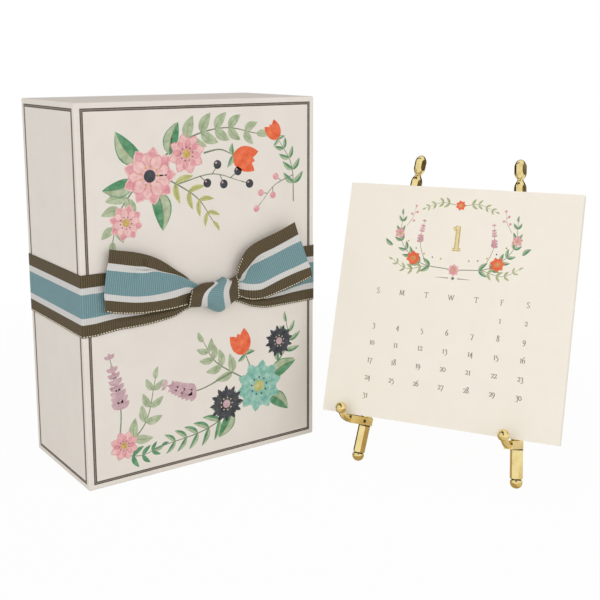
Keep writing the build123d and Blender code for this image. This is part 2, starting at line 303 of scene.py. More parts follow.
@dataclass(frozen=True)
class Grosgrain(Finish):
    """Woven grosgrain ribbon, striped in the warp: matt cross ribs with a soft thread sheen, and painted shade that
    darkens the furrows between the ribs.
    """

    # Each stripe: where it starts across the ribbon, its colour and how strong the painted shade in its furrows is
    stripes: tuple[tuple[float, str, float], ...]
    rib_mm: float
    # Threads are about 0.2 mm thick, and drawn a little coarser so that they show
    thread_mm: float = 0.3
    # The painted shade in the furrows between the ribs: its colour, and how much the ribs' wave darkens the threads'
    # grain
    furrow: str = "#6E6A62"
    rib_share: float = 0.35
    nap_mm: float = 0.03

    def lay(self, tree: bpy.types.NodeTree, shader: bpy.types.Node) -> None:
        """Adds the stripes across the ribbon, the shade between its ribs and the grain of its threads.

        Args:
            tree: The material's node tree.
            shader: Its shader.
        """
        weave = add(tree, "UVMap", {"uv_map": "Weave"}).outputs[0]
        across = add(tree, "SeparateXYZ", {}, {0: weave})
        bands = add(tree, "ValToRGB", {}, {0: across.outputs[0]})
        ramp = bands.color_ramp
        ramp.interpolation = "CONSTANT"
        for number, (start, colour, dark) in enumerate(self.stripes):
            stop = ramp.elements[number] if number < 2 else ramp.elements.new(start)
            stop.position = start
            stop.color = linear(colour)[:3] + (dark,)
        # Painted shade: a wave along the ribbon, one per rib, darkens the colour towards the furrow colour between
        # the ribs
        turns = add(tree, "Math", {"operation": "MULTIPLY", 1: 2 * math.pi / (self.rib_mm * MM)},
                    {0: across.outputs[1]})
        wave = add(tree, "Math", {"operation": "COSINE"}, {0: turns.outputs[0]})
        place = add(tree, "TexCoord").outputs["Object"]
        threads = add(tree, "TexNoise", {"Scale": 1 / (self.thread_mm * MM), "Detail": 2.0},
                      {"Vector": place}).outputs["Fac"]
        grain = add(tree, "Math", {"operation": "MULTIPLY_ADD", 1: -self.rib_share}, {0: wave.outputs[0], 2: threads})
        depth = add(tree, "MapRange", {"From Min": 0.4, "From Max": 1.0}, {"Value": grain.outputs[0]})
        depth = add(tree, "Math", {"operation": "MULTIPLY"}, {0: depth.outputs[0], 1: bands.outputs[1]})
        tint = add(tree, "Mix", {"data_type": "RGBA", "blend_type": "MULTIPLY", 7: linear(self.furrow)},
                   {0: depth.outputs[0], 6: bands.outputs[0]})
        nap = add(tree, "Bump", {"Strength": 0.4, "Distance": self.nap_mm * MM}, {"Height": threads})
        set_up(tree, shader, {"Roughness": 0.72, "Specular IOR Level": 0.25, "Sheen Weight": 0.12,
                              "Sheen Roughness": 0.4},
               {"Base Color": tint.outputs[2], "Normal": nap.outputs[0]})


@dataclass(frozen=True)
class Wash(Finish):
    """Offset-printed watercolour: a thin matt wash of ink that pools into a deeper tone."""

    pale: str
    deep: str
    pool_mm: float = 4.0

    def lay(self, tree: bpy.types.NodeTree, shader: bpy.types.Node) -> None:
        """Adds soft pools and a fine granulation of the pigment.

        Args:
            tree: The material's node tree.
            shader: Its shader.
        """
        place = add(tree, "TexCoord").outputs["Object"]
        pools = add(tree, "TexNoise", {"Scale": 1 / (self.pool_mm * MM), "Detail": 5.0, "Roughness": 0.65},
                    {"Vector": place})
        tone = add(tree, "MapRange", {"From Min": 0.32, "From Max": 0.68}, {"Value": pools.outputs["Fac"]})
        tint = add(tree, "Mix", {"data_type": "RGBA", 6: linear(self.pale), 7: linear(self.deep)},
                   {0: tone.outputs[0]})
        set_up(tree, shader, {"Roughness": 0.7, "Specular IOR Level": 0.25}, {"Base Color": tint.outputs[2]})


class Ink(Enum):
    """The print's colours, each a wash of its own."""

    ROSE = Wash("rose_wash_ink", "#E6B0B2", "#CF8089")
    BLUSH = Wash("blush_wash_ink", "#EFCDC6", "#DDA6A6")
    CORAL = Wash("coral_wash_ink", "#EE8058", "#D9522F")
    LEAF = Wash("leaf_green_wash_ink", "#76A681", "#3D7C52")
    SAGE = Wash("sage_wash_ink", "#BFC7A9", "#93A380")
    OLIVE = Wash("olive_wash_ink", "#CBC98D", "#A7A75B")
    CHARCOAL = Wash("charcoal_wash_ink", "#53555B", "#2C2E32")
    MAUVE = Wash("mauve_wash_ink", "#D3B6BA", "#B28D96")
    MINT = Wash("mint_wash_ink", "#ABD0C3", "#62A392")
    STEM = Wash("stem_line_ink", "#8E987C", "#66735A", 1.5)
    GOLD = Wash("gold_ochre_ink", "#D9BF79", "#AC8C3F", 1.5)
    STRAW = Wash("straw_wash_ink", "#EADDB4", "#DCC88C", 1.5)
    TYPE = Wash("grey_type_ink", "#8C857C", "#777067", 1.0)
    RULE = Wash("dark_rule_ink", "#544C44", "#453E37", 2.0)
    CORE = Wash("grey_rule_ink", "#8C8379", "#7C736A", 2.0)


class Metal(Enum):
    """The easel's metals."""

    # Lacquered brass: pale gold that mirrors the white room, with a few warmer smears
    EASEL = TurnedMetal("lacquered_polished_brass", "#EFDC9E", "#E3C988", rough=(0.12, 0.2))
    # Blacked steel: a dull near-black glint in the arms' holes
    SCREW = TurnedMetal("blacked_steel_screw", "#6B665E", "#4B463F", smear_mm=1.5, rough=(0.3, 0.45))


class Board(Enum):
    """The papers of the box and the cards, and the finish of the dark rings of painted shade on the easel's legs."""

    # Matt art paper drawn tight over board: an even, warm off-white
    WRAP = Fibrous("wrapped_box_art_paper", "#E5DED5", "#E2DAD1", cloud_mm=14.0, fibre_mm=0.6)
    # Plain lining paper: a little yellower and more clouded than the wrap
    TRAY = Fibrous("tray_lining_paper", "#E5DDD2", "#E2DACE", cloud_mm=8.0, fibre_mm=0.45)
    # Uncoated cotton card: a bright cream with a fine tooth
    CARD = Fibrous("cotton_card_stock", "#F3ECDF", "#F1EADC", cloud_mm=11.0, fibre_mm=0.4)
    # Painted shade: a near-black brown ring, with a pressed-fibre tooth, for the shade between a leg and its arm's
    # block or its ball foot
    WASHER = Fibrous("painted_neck_shade_ring", "#44361A", "#2C2310", cloud_mm=2.0, fibre_mm=0.3)


@dataclass(frozen=True)
class Plate:
    """A flat face that carries print: an origin and two axes in the row frame, in millimetres."""

    origin: Vector
    right: Vector
    up: Vector

    def lift(self, flat: np.ndarray, height: float) -> np.ndarray:
        """Places points of a drawing in space.

        Args:
            flat: Points on the face, right and up, in millimetres.
            height: How far off the face they lie.

        Returns:
            The points in the row frame, in millimetres.
        """
        axes = np.array([self.right, self.up])
        off = self.right.cross(self.up).normalized() * height
        return np.array(self.origin + off) + np.asarray(flat) @ axes

    def enlarged(self, scale: float) -> "Plate":
        """Returns the plate with its drawing drawn larger about its origin."""
        return Plate(self.origin, self.right * scale, self.up * scale)


@dataclass
class Drawing:
    """Inked shapes on one plate, gathered into one mesh of thin closed slabs."""

    plate: Plate
    film: float
    step: float
    verts: list[np.ndarray] = field(default_factory=list)
    faces: list[list[int]] = field(default_factory=list)
    inks: list[Ink] = field(default_factory=list)
    count: int = 0

    def _slab(self, rims: Sequence[np.ndarray], faces: list[list[int]], ink: Ink) -> None:
        """Takes in the corners and faces of one slab.

        Args:
            rims: Its rings of corners.
            faces: Corner numbers of its faces, counted from its own first corner.
            ink: The ink that it is printed in.
        """
        self.verts.extend(rims)
        self.faces.extend([[self.count + i for i in f] for f in faces])
        self.inks.extend([ink] * len(faces))
        self.count += sum(len(r) for r in rims)

    def shape(self, outline: Points, ink: Ink, level: int) -> None:
        """Fills an outline.

        Args:
            outline: Its corners on the plate, in millimetres.
            ink: Its colour.
            level: How many steps it lies over the first film of ink.
        """
        p = np.asarray(outline, float)
        x, y = p.T
        if np.dot(x, np.roll(y, -1)) < np.dot(y, np.roll(x, -1)):
            p = p[::-1]
        n = len(p)
        faces = [list(range(n)), list(range(2 * n - 1, n - 1, -1))]
        faces += [[i, n + i, n + (i + 1) % n, (i + 1) % n] for i in range(n)]
        self._slab([self.plate.lift(p, h) for h in (self.film + level * self.step, self.film / 2)], faces, ink)

    def stroke(self, line: np.ndarray, nib: tuple[float, float], ink: Ink, level: int, closed: bool = False,
               taper: float = 1.0) -> None:
        """Draws a line with a flat nib.

        Args:
            line: The line's points on the plate, in millimetres.
            nib: The nib's width and height, which make a line thick or thin by its direction.
            ink: Its colour.
            level: How many steps it lies over the first film of ink.
            closed: Whether the line runs back to its start.
            taper: The share of the nib that is left at the line's end.
        """
        p = np.asarray(line, float)
        if closed:
            ahead = np.roll(p, -1, 0) - np.roll(p, 1, 0)
        else:
            ahead = np.gradient(p, axis=0)
        ahead /= np.linalg.norm(ahead, axis=1)[:, None] + TINY
        side = np.stack([-ahead[:, 1], ahead[:, 0]], 1)
        half = 0.5 * np.hypot(nib[0] * side[:, 0], nib[1] * side[:, 1]) * np.linspace(1, taper, len(p))
        n = len(p)
        left, right = p + side * half[:, None], p - side * half[:, None]
        high, low = self.film + level * self.step, self.film / 2
        rims = [self.plate.lift(q, h) for q, h in ((left, high), (right, high), (right, low), (left, low))]
        faces = []
        for i in range(n if closed else n - 1):
            j = (i + 1) % n
            faces += [[k * n + i, (k + 1) % 4 * n + i, (k + 1) % 4 * n + j, k * n + j] for k in range(4)]
        if not closed:
            faces += [[3 * n, 2 * n, n, 0], [n - 1, 2 * n - 1, 3 * n - 1, 4 * n - 1]]
        self._slab(rims, faces, ink)

    def build(self, name: str, body: str, slot: str) -> bpy.types.Object:
        """Makes the drawing's mesh.

        Args:
            name: The piece's name.
            body: The CAD body that carries the printed face.
            slot: The record's material slot of the printed face; not used.

        Returns:
            The printed piece.
        """
        piece = new_object(name, body, np.concatenate(self.verts), self.faces)
        used = list(dict.fromkeys(self.inks))
        for ink in used:
            piece.data.materials.append(ink.value.material())
        piece.data.polygons.foreach_set("material_index", [used.index(i) for i in self.inks])
        LOG.info("%s: %d faces of print", piece.name, len(piece.data.polygons))
        return piece


def placed(points: Points, at: Sequence[float], turn: float) -> np.ndarray:
    """Turns points about their origin by degrees and sets them down.

    Args:
        points: The points of a motif.
        at: Where its origin goes.
        turn: Its turn, anticlockwise, in degrees.

    Returns:
        The points on the plate.
    """
    c, s = math.cos(math.radians(turn)), math.sin(math.radians(turn))
    return np.asarray(points, float) @ np.array([[c, s], [-s, c]]) + np.asarray(at, float)


def blade(length: float, width: float, belly: float, bend: float = 0.0,
          steps: int = 10) -> tuple[np.ndarray, np.ndarray]:
    """Outlines a leaf or petal that grows along +X.

    Args:
        length: From its base to its tip.
        width: Across its widest place.
        belly: Under 1 it is widest near the base, over 1 near the tip.
        bend: How far its spine bows to the left, as a share of its length.
        steps: Steps along each edge.

    Returns:
        The left and the right edge, each from base to tip.
    """
    s = np.linspace(0, 1, steps)
    half = width / 2 * np.abs(np.sin(np.pi * s ** belly)) ** 0.8
    spine = bend * length * np.sin(np.pi * s)
    return np.stack([s * length, spine + half], 1), np.stack([s * length, spine - half], 1)


def outline(left: np.ndarray, right: np.ndarray) -> np.ndarray:
    """Joins two edges with the same ends into one outline."""
    return np.concatenate([left, right[-2:0:-1]])


def heading(line: np.ndarray, i: int) -> float:
    """Returns the way that a line runs as it comes to one of its points, in degrees."""
    ahead = line[i] - line[max(i - 1, 0)]
    return math.degrees(math.atan2(ahead[1], ahead[0]))


@dataclass
class Botanist:
    """Draws plain garden motifs on a drawing, each from its place, turn and size."""

    page: Drawing
    # Proportions of the motifs: shares of a motif's own size, unless they are angles in degrees
    leaf_belly: float = 0.75
    leaf_light: float = 0.86
    leaf_vein: float = 0.028
    petal_inside: float = 0.92
    petal_vein: float = 0.025
    vein_spots: tuple[float, ...] = (0.25, 0.5, 0.72)
    vein_taper: float = 0.3
    stem_taper: float = 0.45
    stem_steps: int = 8
    sprig_stem: float = 0.07
    sprig_start: float = 0.22
    sprig_shrink: float = 0.45
    sprig_close: float = 8.0
    sprig_bow: float = 0.06
    daisy_tiers: tuple[float, float] = (1.0, 0.8)
    daisy_belly: float = 1.5
    daisy_heart: float = 0.22
    speck_size: float = 0.04
    speck_reach: float = 0.33
    speck_turn: int = 40
    tulip_belly: float = 0.85
    tulip_lean: float = 19.0
    # A tulip's width outside, its height and width in the middle, then its leaves' length, width and angle
    tulip_outside: float = 0.52
    tulip_middle: tuple[float, float] = (0.88, 0.5)
    tulip_leaf: tuple[float, float, float] = (0.42, 0.4, 105.0)
    berry_stem: float = 0.3
    berry_start: float = 0.35
    # A berry's stalk: its length, width and angle, then the light on the berry: its size and place
    berry_stalk: tuple[float, float, float] = (2.4, 0.22, 55.0)
    berry_light: tuple[float, tuple[float, float]] = (0.26, (-0.35, 0.4))
    spike_stem: float = 0.16
    spike_start: float = 0.5
    spike_shrink: float = 1.65
    # A bud of a spike: its width, belly and angle
    spike_bud: tuple[float, float, float] = (0.55, 1.1, 52.0)

    def leaf(self, at: Sequence[float], turn: float, length: float, inks: tuple[Ink, Ink], level: int,
             slim: float = 0.42, bend: float = 0.08) -> None:
        """Draws a leaf with one half in the light.

        Args:
            at: The leaf's base.
            turn: The way it points, in degrees.
            length: From base to tip.
            inks: The colour of its shaded and its light half.
            level: Its lowest layer of ink.
            slim: Its width as a share of its length.
            bend: How far its spine bows.
        """
        left, right = blade(length, length * slim, self.leaf_belly, bend)
        spine = (left + right) / 2
        lit = left * self.leaf_light + spine * (1 - self.leaf_light)
        self.page.shape(placed(outline(left, right), at, turn), inks[0], level)
        self.page.shape(placed(outline(spine, lit), at, turn), inks[1], level + 1)
        self.page.stroke(placed(spine[:-1], at, turn), (length * self.leaf_vein,) * 2, Ink.STEM, level + 2,
                         taper=self.vein_taper)

    def petal(self, at: Sequence[float], turn: float, length: float, width: float, belly: float,
              inks: tuple[Ink, Ink], level: int) -> None:
        """Draws a petal with a darker rim and a fine vein.

        Args:
            at: The petal's base.
            turn: The way it points, in degrees.
            length: From base to tip.
            width: Across its widest place.
            belly: Over 1 it is widest near its tip.
            inks: The colour of its rim and of its inside.
            level: Its lowest layer of ink.
        """
        for share, ink in zip((1.0, self.petal_inside), inks):
            left, right = blade(length * share, width * (3 * share - 2), belly)
            rim = outline(left, right) + (length * (1 - share) / 2, 0)
            self.page.shape(placed(rim, at, turn), ink, level + (share < 1))
        vein = placed([(length * share, 0) for share in self.vein_spots], at, turn)
        self.page.stroke(vein, (length * self.petal_vein,) * 2, inks[0], level + 2, taper=self.vein_taper)

    def stem(self, points: Points, width: float, level: int) -> np.ndarray:
        """Draws a stem that thins to its tip.

        Args:
            points: Points that the stem runs through.
            width: Its width at the root.
            level: Its layer of ink.

        Returns:
            The stem's curve.
        """
        line = smooth(points, self.stem_steps)
        self.page.stroke(line, (width, width), Ink.STEM, level, taper=self.stem_taper)
        return line

    def sprig(self, points: Points, leaf: float, pairs: int, inks: tuple[Ink, Ink], level: int,
              slim: float = 0.42, spread: float = 48.0) -> None:
        """Draws a stem with leaves in pairs that get smaller towards its tip.

        Args:
            points: The stem's points, from its foot.
            leaf: Length of the largest leaf.
            pairs: Number of pairs of leaves.
            inks: The colour of each leaf's shaded and light half.
            level: Its lowest layer of ink.
            slim: Width of a leaf as a share of its length.
            spread: Angle of the leaves from the stem, in degrees.
        """
        line = self.stem(points, leaf * self.sprig_stem, level)
        run = run_of(line)
        for k in range(pairs + 1):
            share = self.sprig_start + (1 - self.sprig_start) * k / pairs
            i = min(int(np.searchsorted(run, share * run[-1])), len(line) - 1)
            way = heading(line, i)
            size = leaf * (1 - self.sprig_shrink * share)
            if k == pairs:
                self.leaf(line[i], way, size, inks, level + 1, slim)
                continue
            open_by = spread - self.sprig_close * share
            for side in (1, -1):
                self.leaf(line[i], way + side * open_by, size, inks, level + 1, slim, self.sprig_bow * side)

    def daisy(self, at: Sequence[float], size: float, petals: int, inks: tuple[Ink, Ink], heart: tuple[Ink, Ink],
              level: int, turn: float = 0.0, plump: float = 0.5) -> None:
        """Draws an open flower seen from above.

        Args:
            at: Its middle.
            size: Its radius.
            petals: Number of petals.
            inks: The colours of the lower and the upper ring of petals.
            heart: The colours of its heart and of the specks on it.
            level: Its lowest layer of ink.
            turn: Its turn in degrees.
            plump: Width of a petal as a share of its length.
        """
        for k in range(petals):
            for tier, reach in enumerate(self.daisy_tiers):
                way = turn + 360 * (k + 0.5 * tier) / petals
                pair = inks if tier else inks[::-1]
                layer = level + tier * 4 + k % 2 * 2
                self.petal(at, way, size * reach, size * plump, self.daisy_belly, pair, layer)
        ring = circle(16)
        self.page.shape(ring * size * self.daisy_heart + at, heart[0], level + 9)
        speck = ring[::3] * size * self.speck_size + (size * self.speck_reach, 0)
        for way in range(0, 360, self.speck_turn):
            self.page.shape(placed(speck, at, turn + way), heart[1], level + 10)

    def tulip(self, at: Sequence[float], turn: float, size: float, inks: tuple[Ink, Ink], level: int) -> None:
        """Draws a closed cup of three petals on its stem's end.

        Args:
            at: The cup's base.
            turn: The way it points, in degrees.
            size: The cup's height.
            inks: The colours of the outer petals and of the middle one.
            level: Its lowest layer of ink.
        """
        for side in (1, -1):
            self.petal(at, turn + side * self.tulip_lean, size, size * self.tulip_outside, self.tulip_belly, inks,
                       level + (side > 0) * 3)
        tall, wide = (size * share for share in self.tulip_middle)
        self.petal(at, turn, tall, wide, self.tulip_belly, inks[::-1], level + 6)
        length, slim, angle = self.tulip_leaf
        for side in (1, -1):
            self.leaf(at, turn + side * angle, size * length, (Ink.LEAF, Ink.SAGE), level + 9, slim)

    def berries(self, points: Points, size: float, number: int, inks: tuple[Ink, Ink], level: int) -> None:
        """Draws a stem with round berries on short stalks.

        Args:
            points: The stem's points, from its foot.
            size: Radius of a berry.
            number: Number of berries.
            inks: The colour of the berries and of the light on them.
            level: Its lowest layer of ink.
        """
        line = self.stem(points, size * self.berry_stem, level)
        length, width, angle = self.berry_stalk
        glint, spot = self.berry_light
        ring = circle(14)
        for k in range(number):
            i = int((len(line) - 1) * (self.berry_start + (1 - self.berry_start) * k / (number - 1)))
            side = 0 if k == number - 1 else 1 if k % 2 else -1
            tip = placed([(size * length, 0)], line[i], heading(line, i) + side * angle)[0]
            self.page.stroke(np.array([line[i], (line[i] + tip) / 2, tip]), (size * width,) * 2, Ink.STEM, level)
            self.page.shape(ring * size + tip, inks[0], level + 2)
            self.page.shape((ring[::2] * glint + spot) * size + tip, inks[1], level + 3)

    def lavender(self, points: Points, size: float, whorls: int, inks: tuple[Ink, Ink], level: int) -> None:
        """Draws a flower spike of small buds.

        Args:
            points: The stem's points, from its foot.
            size: Length of the largest bud.
            whorls: Number of whorls of buds.
            inks: The colours of the outer buds and of the middle ones.
            level: Its lowest layer of ink.
        """
        line = self.stem(points, size * self.spike_stem, level)
        width, belly, angle = self.spike_bud
        for k in range(whorls):
            share = self.spike_start + (1 - self.spike_start) * k / (whorls - 1)
            i = int((len(line) - 1) * share)
            length = size * (self.spike_shrink - share)
            bud = outline(*blade(length, length * width, belly, steps=7))
            for side, ink in ((1, 0), (-1, 0), (0, 1)):
                self.page.shape(placed(bud, line[i], heading(line, i) + side * angle), inks[ink],
                                level + 1 + ink + k % 2)


# Each glyph's strokes: their points, in x-heights from the glyph's lower left
GLYPHS: dict[str, tuple[Points, ...]] = {
    "0": (((0.33, 1.0), (0.08, 0.78), (0.05, 0.42), (0.33, 0.0), (0.6, 0.24), (0.62, 0.62)),),
    "1": (((0.3, 1.02), (0.3, 0.0)), ((0.1, 0.86), (0.3, 1.0)), ((0.12, 0.0), (0.48, 0.0))),
    "2": (((0.07, 0.74), (0.17, 0.95), (0.37, 1.0), (0.54, 0.82), (0.47, 0.52), (0.25, 0.22), (0.05, 0.02)),
          ((0.05, 0.03), (0.6, 0.03)), ((0.6, 0.03), (0.63, 0.2))),
    "3": (((0.08, 0.82), (0.2, 0.98), (0.4, 0.98), (0.52, 0.8), (0.42, 0.56), (0.22, 0.46)),
          ((0.22, 0.46), (0.46, 0.4), (0.58, 0.14), (0.48, -0.2), (0.26, -0.38), (0.04, -0.36))),
    "4": (((0.44, 1.0), (0.02, 0.1)), ((0.02, 0.1), (0.68, 0.1)), ((0.46, 1.0), (0.46, -0.4))),
    "5": (((0.16, 0.98), (0.56, 0.98)), ((0.17, 0.98), (0.11, 0.5)),
          ((0.11, 0.5), (0.32, 0.58), (0.53, 0.4), (0.55, 0.06), (0.36, -0.28), (0.04, -0.38))),
    "6": (((0.54, 1.42), (0.27, 1.16), (0.1, 0.76), (0.07, 0.36), (0.24, 0.03), (0.48, 0.08), (0.6, 0.4),
          (0.46, 0.74), (0.24, 0.72), (0.09, 0.52)),),
    "7": (((0.05, 0.97), (0.62, 0.97)), ((0.62, 0.97), (0.22, -0.4)), ((0.05, 0.97), (0.06, 0.78))),
    "8": (((0.32, 0.76), (0.13, 1.0), (0.16, 1.3), (0.34, 1.42), (0.5, 1.28), (0.5, 1.0), (0.32, 0.76), (0.12, 0.5),
          (0.08, 0.2), (0.32, 0.0), (0.58, 0.2), (0.52, 0.52)),),
    "9": (((0.1, -0.42), (0.37, -0.16), (0.54, 0.24), (0.57, 0.64), (0.4, 0.97), (0.16, 0.92), (0.04, 0.6),
          (0.18, 0.26), (0.4, 0.28), (0.55, 0.48)),),
    "S": (((0.62, 1.1), (0.5, 1.3), (0.28, 1.34), (0.12, 1.12), (0.24, 0.84), (0.5, 0.58), (0.62, 0.28), (0.44, 0.02),
          (0.2, 0.0), (0.08, 0.24)),),
    "M": (((0.1, 0.0), (0.2, 1.32)), ((0.2, 1.32), (0.6, 0.06)), ((0.6, 0.06), (1.0, 1.32)),
          ((1.0, 1.32), (1.1, 0.0)), ((0.0, 0.0), (0.24, 0.0)), ((0.96, 0.0), (1.24, 0.0))),
    "T": (((0.02, 1.3), (0.9, 1.3)), ((0.46, 1.3), (0.46, 0.0)), ((0.3, 0.0), (0.62, 0.0)),
          ((0.02, 1.3), (0.0, 1.08)), ((0.9, 1.3), (0.92, 1.08))),
    "W": (((0.02, 1.32), (0.38, 0.02)), ((0.38, 0.02), (0.68, 1.2)), ((0.68, 1.2), (1.0, 0.02)),
          ((1.0, 0.02), (1.36, 1.32))),
    "F": (((0.16, 1.32), (0.16, 0.0)), ((0.02, 1.3), (0.68, 1.3)), ((0.16, 0.68), (0.56, 0.68)),
          ((0.02, 0.0), (0.32, 0.0)), ((0.68, 1.3), (0.7, 1.08))),
}
CLOSED_GLYPHS = "08"
GLYPH_WIDTHS = {"1": 0.58, "M": 1.24, "T": 0.92, "W": 1.38}
PLAIN_WIDTH = 0.7


@dataclass(frozen=True)
class Typeface:
    """Old-style figures and capitals written with a flat nib."""

    x_height: float
    nib: tuple[float, float]
    steps: int = 5

    def write(self, page: Drawing, text: str, at: Sequence[float], ink: Ink, level: int) -> None:
        """Writes a short text round a middle.

        Args:
            page: The drawing that gets it.
            text: Figures or capitals that the typeface has.
            at: The middle of the text's baseline.
            ink: Its colour.
            level: Its lowest layer of ink.
        """
        widths = [GLYPH_WIDTHS.get(c, PLAIN_WIDTH) for c in text]
        start = -sum(widths) / 2
        for sign, width in zip(text, widths):
            closed = sign in CLOSED_GLYPHS
            for number, points in enumerate(GLYPHS[sign]):
                line = smooth(points, self.steps, closed) + (start, 0)
                page.stroke(line * self.x_height + at, self.nib, ink, level + number % 3, closed)
            start += width


@dataclass
class KeepsakeBox:
    """Lid and tray of the keepsake box, with ruled borders and sprays of flowers on the lid."""

    border_inset: float = 3.7
    rule: float = 0.5
    core: float = 0.65
    art_scale: float = 1.3
    film: float = 0.02
    step: float = 0.003

    def plates(self) -> dict[str, tuple[Plate, float, float]]:
        """Finds the ruled faces of the lid.

        Returns:
            The plate, width and height of each face, by its side.
        """
        low, high = box_of("box_lid")
        wide, deep, tall = high - low
        up = Vector((0, 0, 1))
        return {
            "front": (Plate(Vector(low), Vector((1, 0, 0)), up), wide, tall),
            "left": (Plate(Vector((low[0], high[1], low[2])), Vector((0, -1, 0)), up), deep, tall),
            "right": (Plate(Vector((high[0], low[1], low[2])), Vector((0, 1, 0)), up), deep, tall),
        }

    def border(self, page: Drawing, wide: float, tall: float) -> None:
        """Rules a border of two dark lines with a grey one between them.

        Args:
            page: The face's drawing.
            wide: The face's width.
            tall: The face's height.
        """
        inset = self.border_inset - self.rule - self.core / 2
        for thick, ink in ((self.rule, Ink.RULE), (self.core, Ink.CORE), (self.rule, Ink.RULE)):
            rims = []
            for d in (inset, inset + thick):
                rims.append(np.array([(d, d), (wide - d, d), (wide - d, tall - d), (d, tall - d)]))
            for i in range(4):
                j = (i + 1) % 4
                page.shape([rims[0][i], rims[0][j], rims[1][j], rims[1][i]], ink, 0)
            inset += thick

    def sprays(self, page: Drawing, wide: float, tall: float) -> None:
        """Draws a spray of flowers in each corner of the front, and leaves its middle bare.

        Args:
            page: The front's drawing.
            wide: The front's width.
            tall: The front's height.
        """
        art = Botanist(page)
        plain = (Ink.LEAF, Ink.SAGE, Ink.OLIVE, Ink.CORAL, Ink.MAUVE, Ink.MINT, Ink.CHARCOAL)
        green, sage, olive, coral, mauve, mint, dark = ((ink, ink) for ink in plain)
        fresh, rose, blush = (Ink.LEAF, Ink.SAGE), (Ink.ROSE, Ink.BLUSH), (Ink.BLUSH, Ink.ROSE)
        gold, straw = (Ink.GOLD, Ink.CHARCOAL), (Ink.MAUVE, Ink.STRAW)
        # Upper left: rose daisies over green leaves
        art.sprig([(30, tall - 28), (48, tall - 16), (66, tall - 12), (82, tall - 15)], 12, 6, sage, 0, 0.5)
        art.sprig([(26, tall - 32), (17, tall - 44), (14, tall - 55)], 11, 3, sage, 0, 0.5)
        art.sprig([(36, tall - 30), (52, tall - 40), (60, tall - 51)], 10, 4, olive, 1, 0.3)
        for at, turn, size in (((27, tall - 25), 128, 17), ((40, tall - 22), 72, 14), ((24, tall - 32), 190, 14),
                               ((34, tall - 36), 278, 17)):
            art.leaf(at, turn, size, fresh, 3, 0.5)
        art.berries([(44, tall - 34), (60, tall - 31), (74, tall - 35)], 1.9, 5, (Ink.CHARCOAL, Ink.MAUVE), 4)
        art.daisy((31, tall - 30), 12.0, 9, rose, (Ink.CHARCOAL, Ink.GOLD), 8)
        art.daisy((48, tall - 22), 8.5, 8, blush, gold, 16, 14)
        art.daisy((20, tall - 48), 7.5, 8, rose, gold, 16, 30)
        art.stem([(56, tall - 22), (64, tall - 21), (71, tall - 24)], 0.8, 3)
        art.tulip((70, tall - 24), -14, 13, coral, 6)
        # Lower right: mint and charcoal flowers over ferns
        art.sprig([(wide - 34, 26), (wide - 56, 15), (wide - 78, 12)], 11, 6, fresh, 0, 0.3)
        art.sprig([(wide - 24, 34), (wide - 14, 46), (wide - 15, 56)], 10, 4, fresh, 0, 0.3)
        art.sprig([(wide - 38, 34), (wide - 52, 44), (wide - 58, 54)], 10, 4, sage, 1, 0.45)
        for at, turn, size in (((wide - 25, 24), -40, 14), ((wide - 44, 20), 236, 13), ((wide - 24, 32), 22, 15)):
            art.leaf(at, turn, size, fresh, 3, 0.5)
        art.lavender([(wide - 44, 38), (wide - 62, 33), (wide - 76, 38)], 4.6, 8, mauve, 4)
        art.daisy((wide - 30, 29), 12.0, 10, mint, (Ink.OLIVE, Ink.CHARCOAL), 8, 8, 0.42)
        art.daisy((wide - 47, 24), 8.5, 12, dark, straw, 16, 0, 0.26)
        art.daisy((wide - 19, 48), 7.5, 12, dark, straw, 16, 9, 0.26)
        art.tulip((wide - 37, 45), 112, 12, coral, 12)
        art.stem([(wide - 33, 36), (wide - 35, 40), (wide - 37, 45)], 0.8, 3)
        # Upper right and lower left: small sprigs
        art.sprig([(wide - 11, tall - 46), (wide - 12, tall - 30), (wide - 19, tall - 18)], 8, 4, fresh, 0, 0.36)
        art.tulip((wide - 19, tall - 18), 124, 9, coral, 4)
        art.berries([(wide - 11, tall - 34), (wide - 21, tall - 38), (wide - 28, tall - 45)], 1.5, 4, rose, 4)
        art.lavender([(13, 12), (15, 32), (11, 54)], 4.4, 8, mauve, 4)
        art.sprig([(14, 13), (26, 24), (31, 42)], 10, 4, sage, 0, 0.45)
        art.sprig([(15, 12), (24, 10), (33, 12)], 7, 3, green, 2, 0.36)
        art.daisy((16, 16), 6.5, 8, blush, gold, 8, 20)

    def build(self) -> None:
        """Dresses the lid and the tray, and prints the lid's faces."""
        Board.WRAP.value.dress(frame["nodes"]["box_lid"])
        Board.TRAY.value.dress(frame["nodes"]["box_tray"])
        for side, (plate, wide, tall) in self.plates().items():
            page = Drawing(plate, self.film, self.step)
            self.border(page, wide, tall)
            page.build(f"lid_{side}_border", "box", "box_wrap")
            if side == "front":
                page = Drawing(plate.enlarged(self.art_scale), self.film, self.step)
                self.sprays(page, wide / self.art_scale, tall / self.art_scale)
                page.build(f"lid_{side}_flowers", "box", "box_wrap")


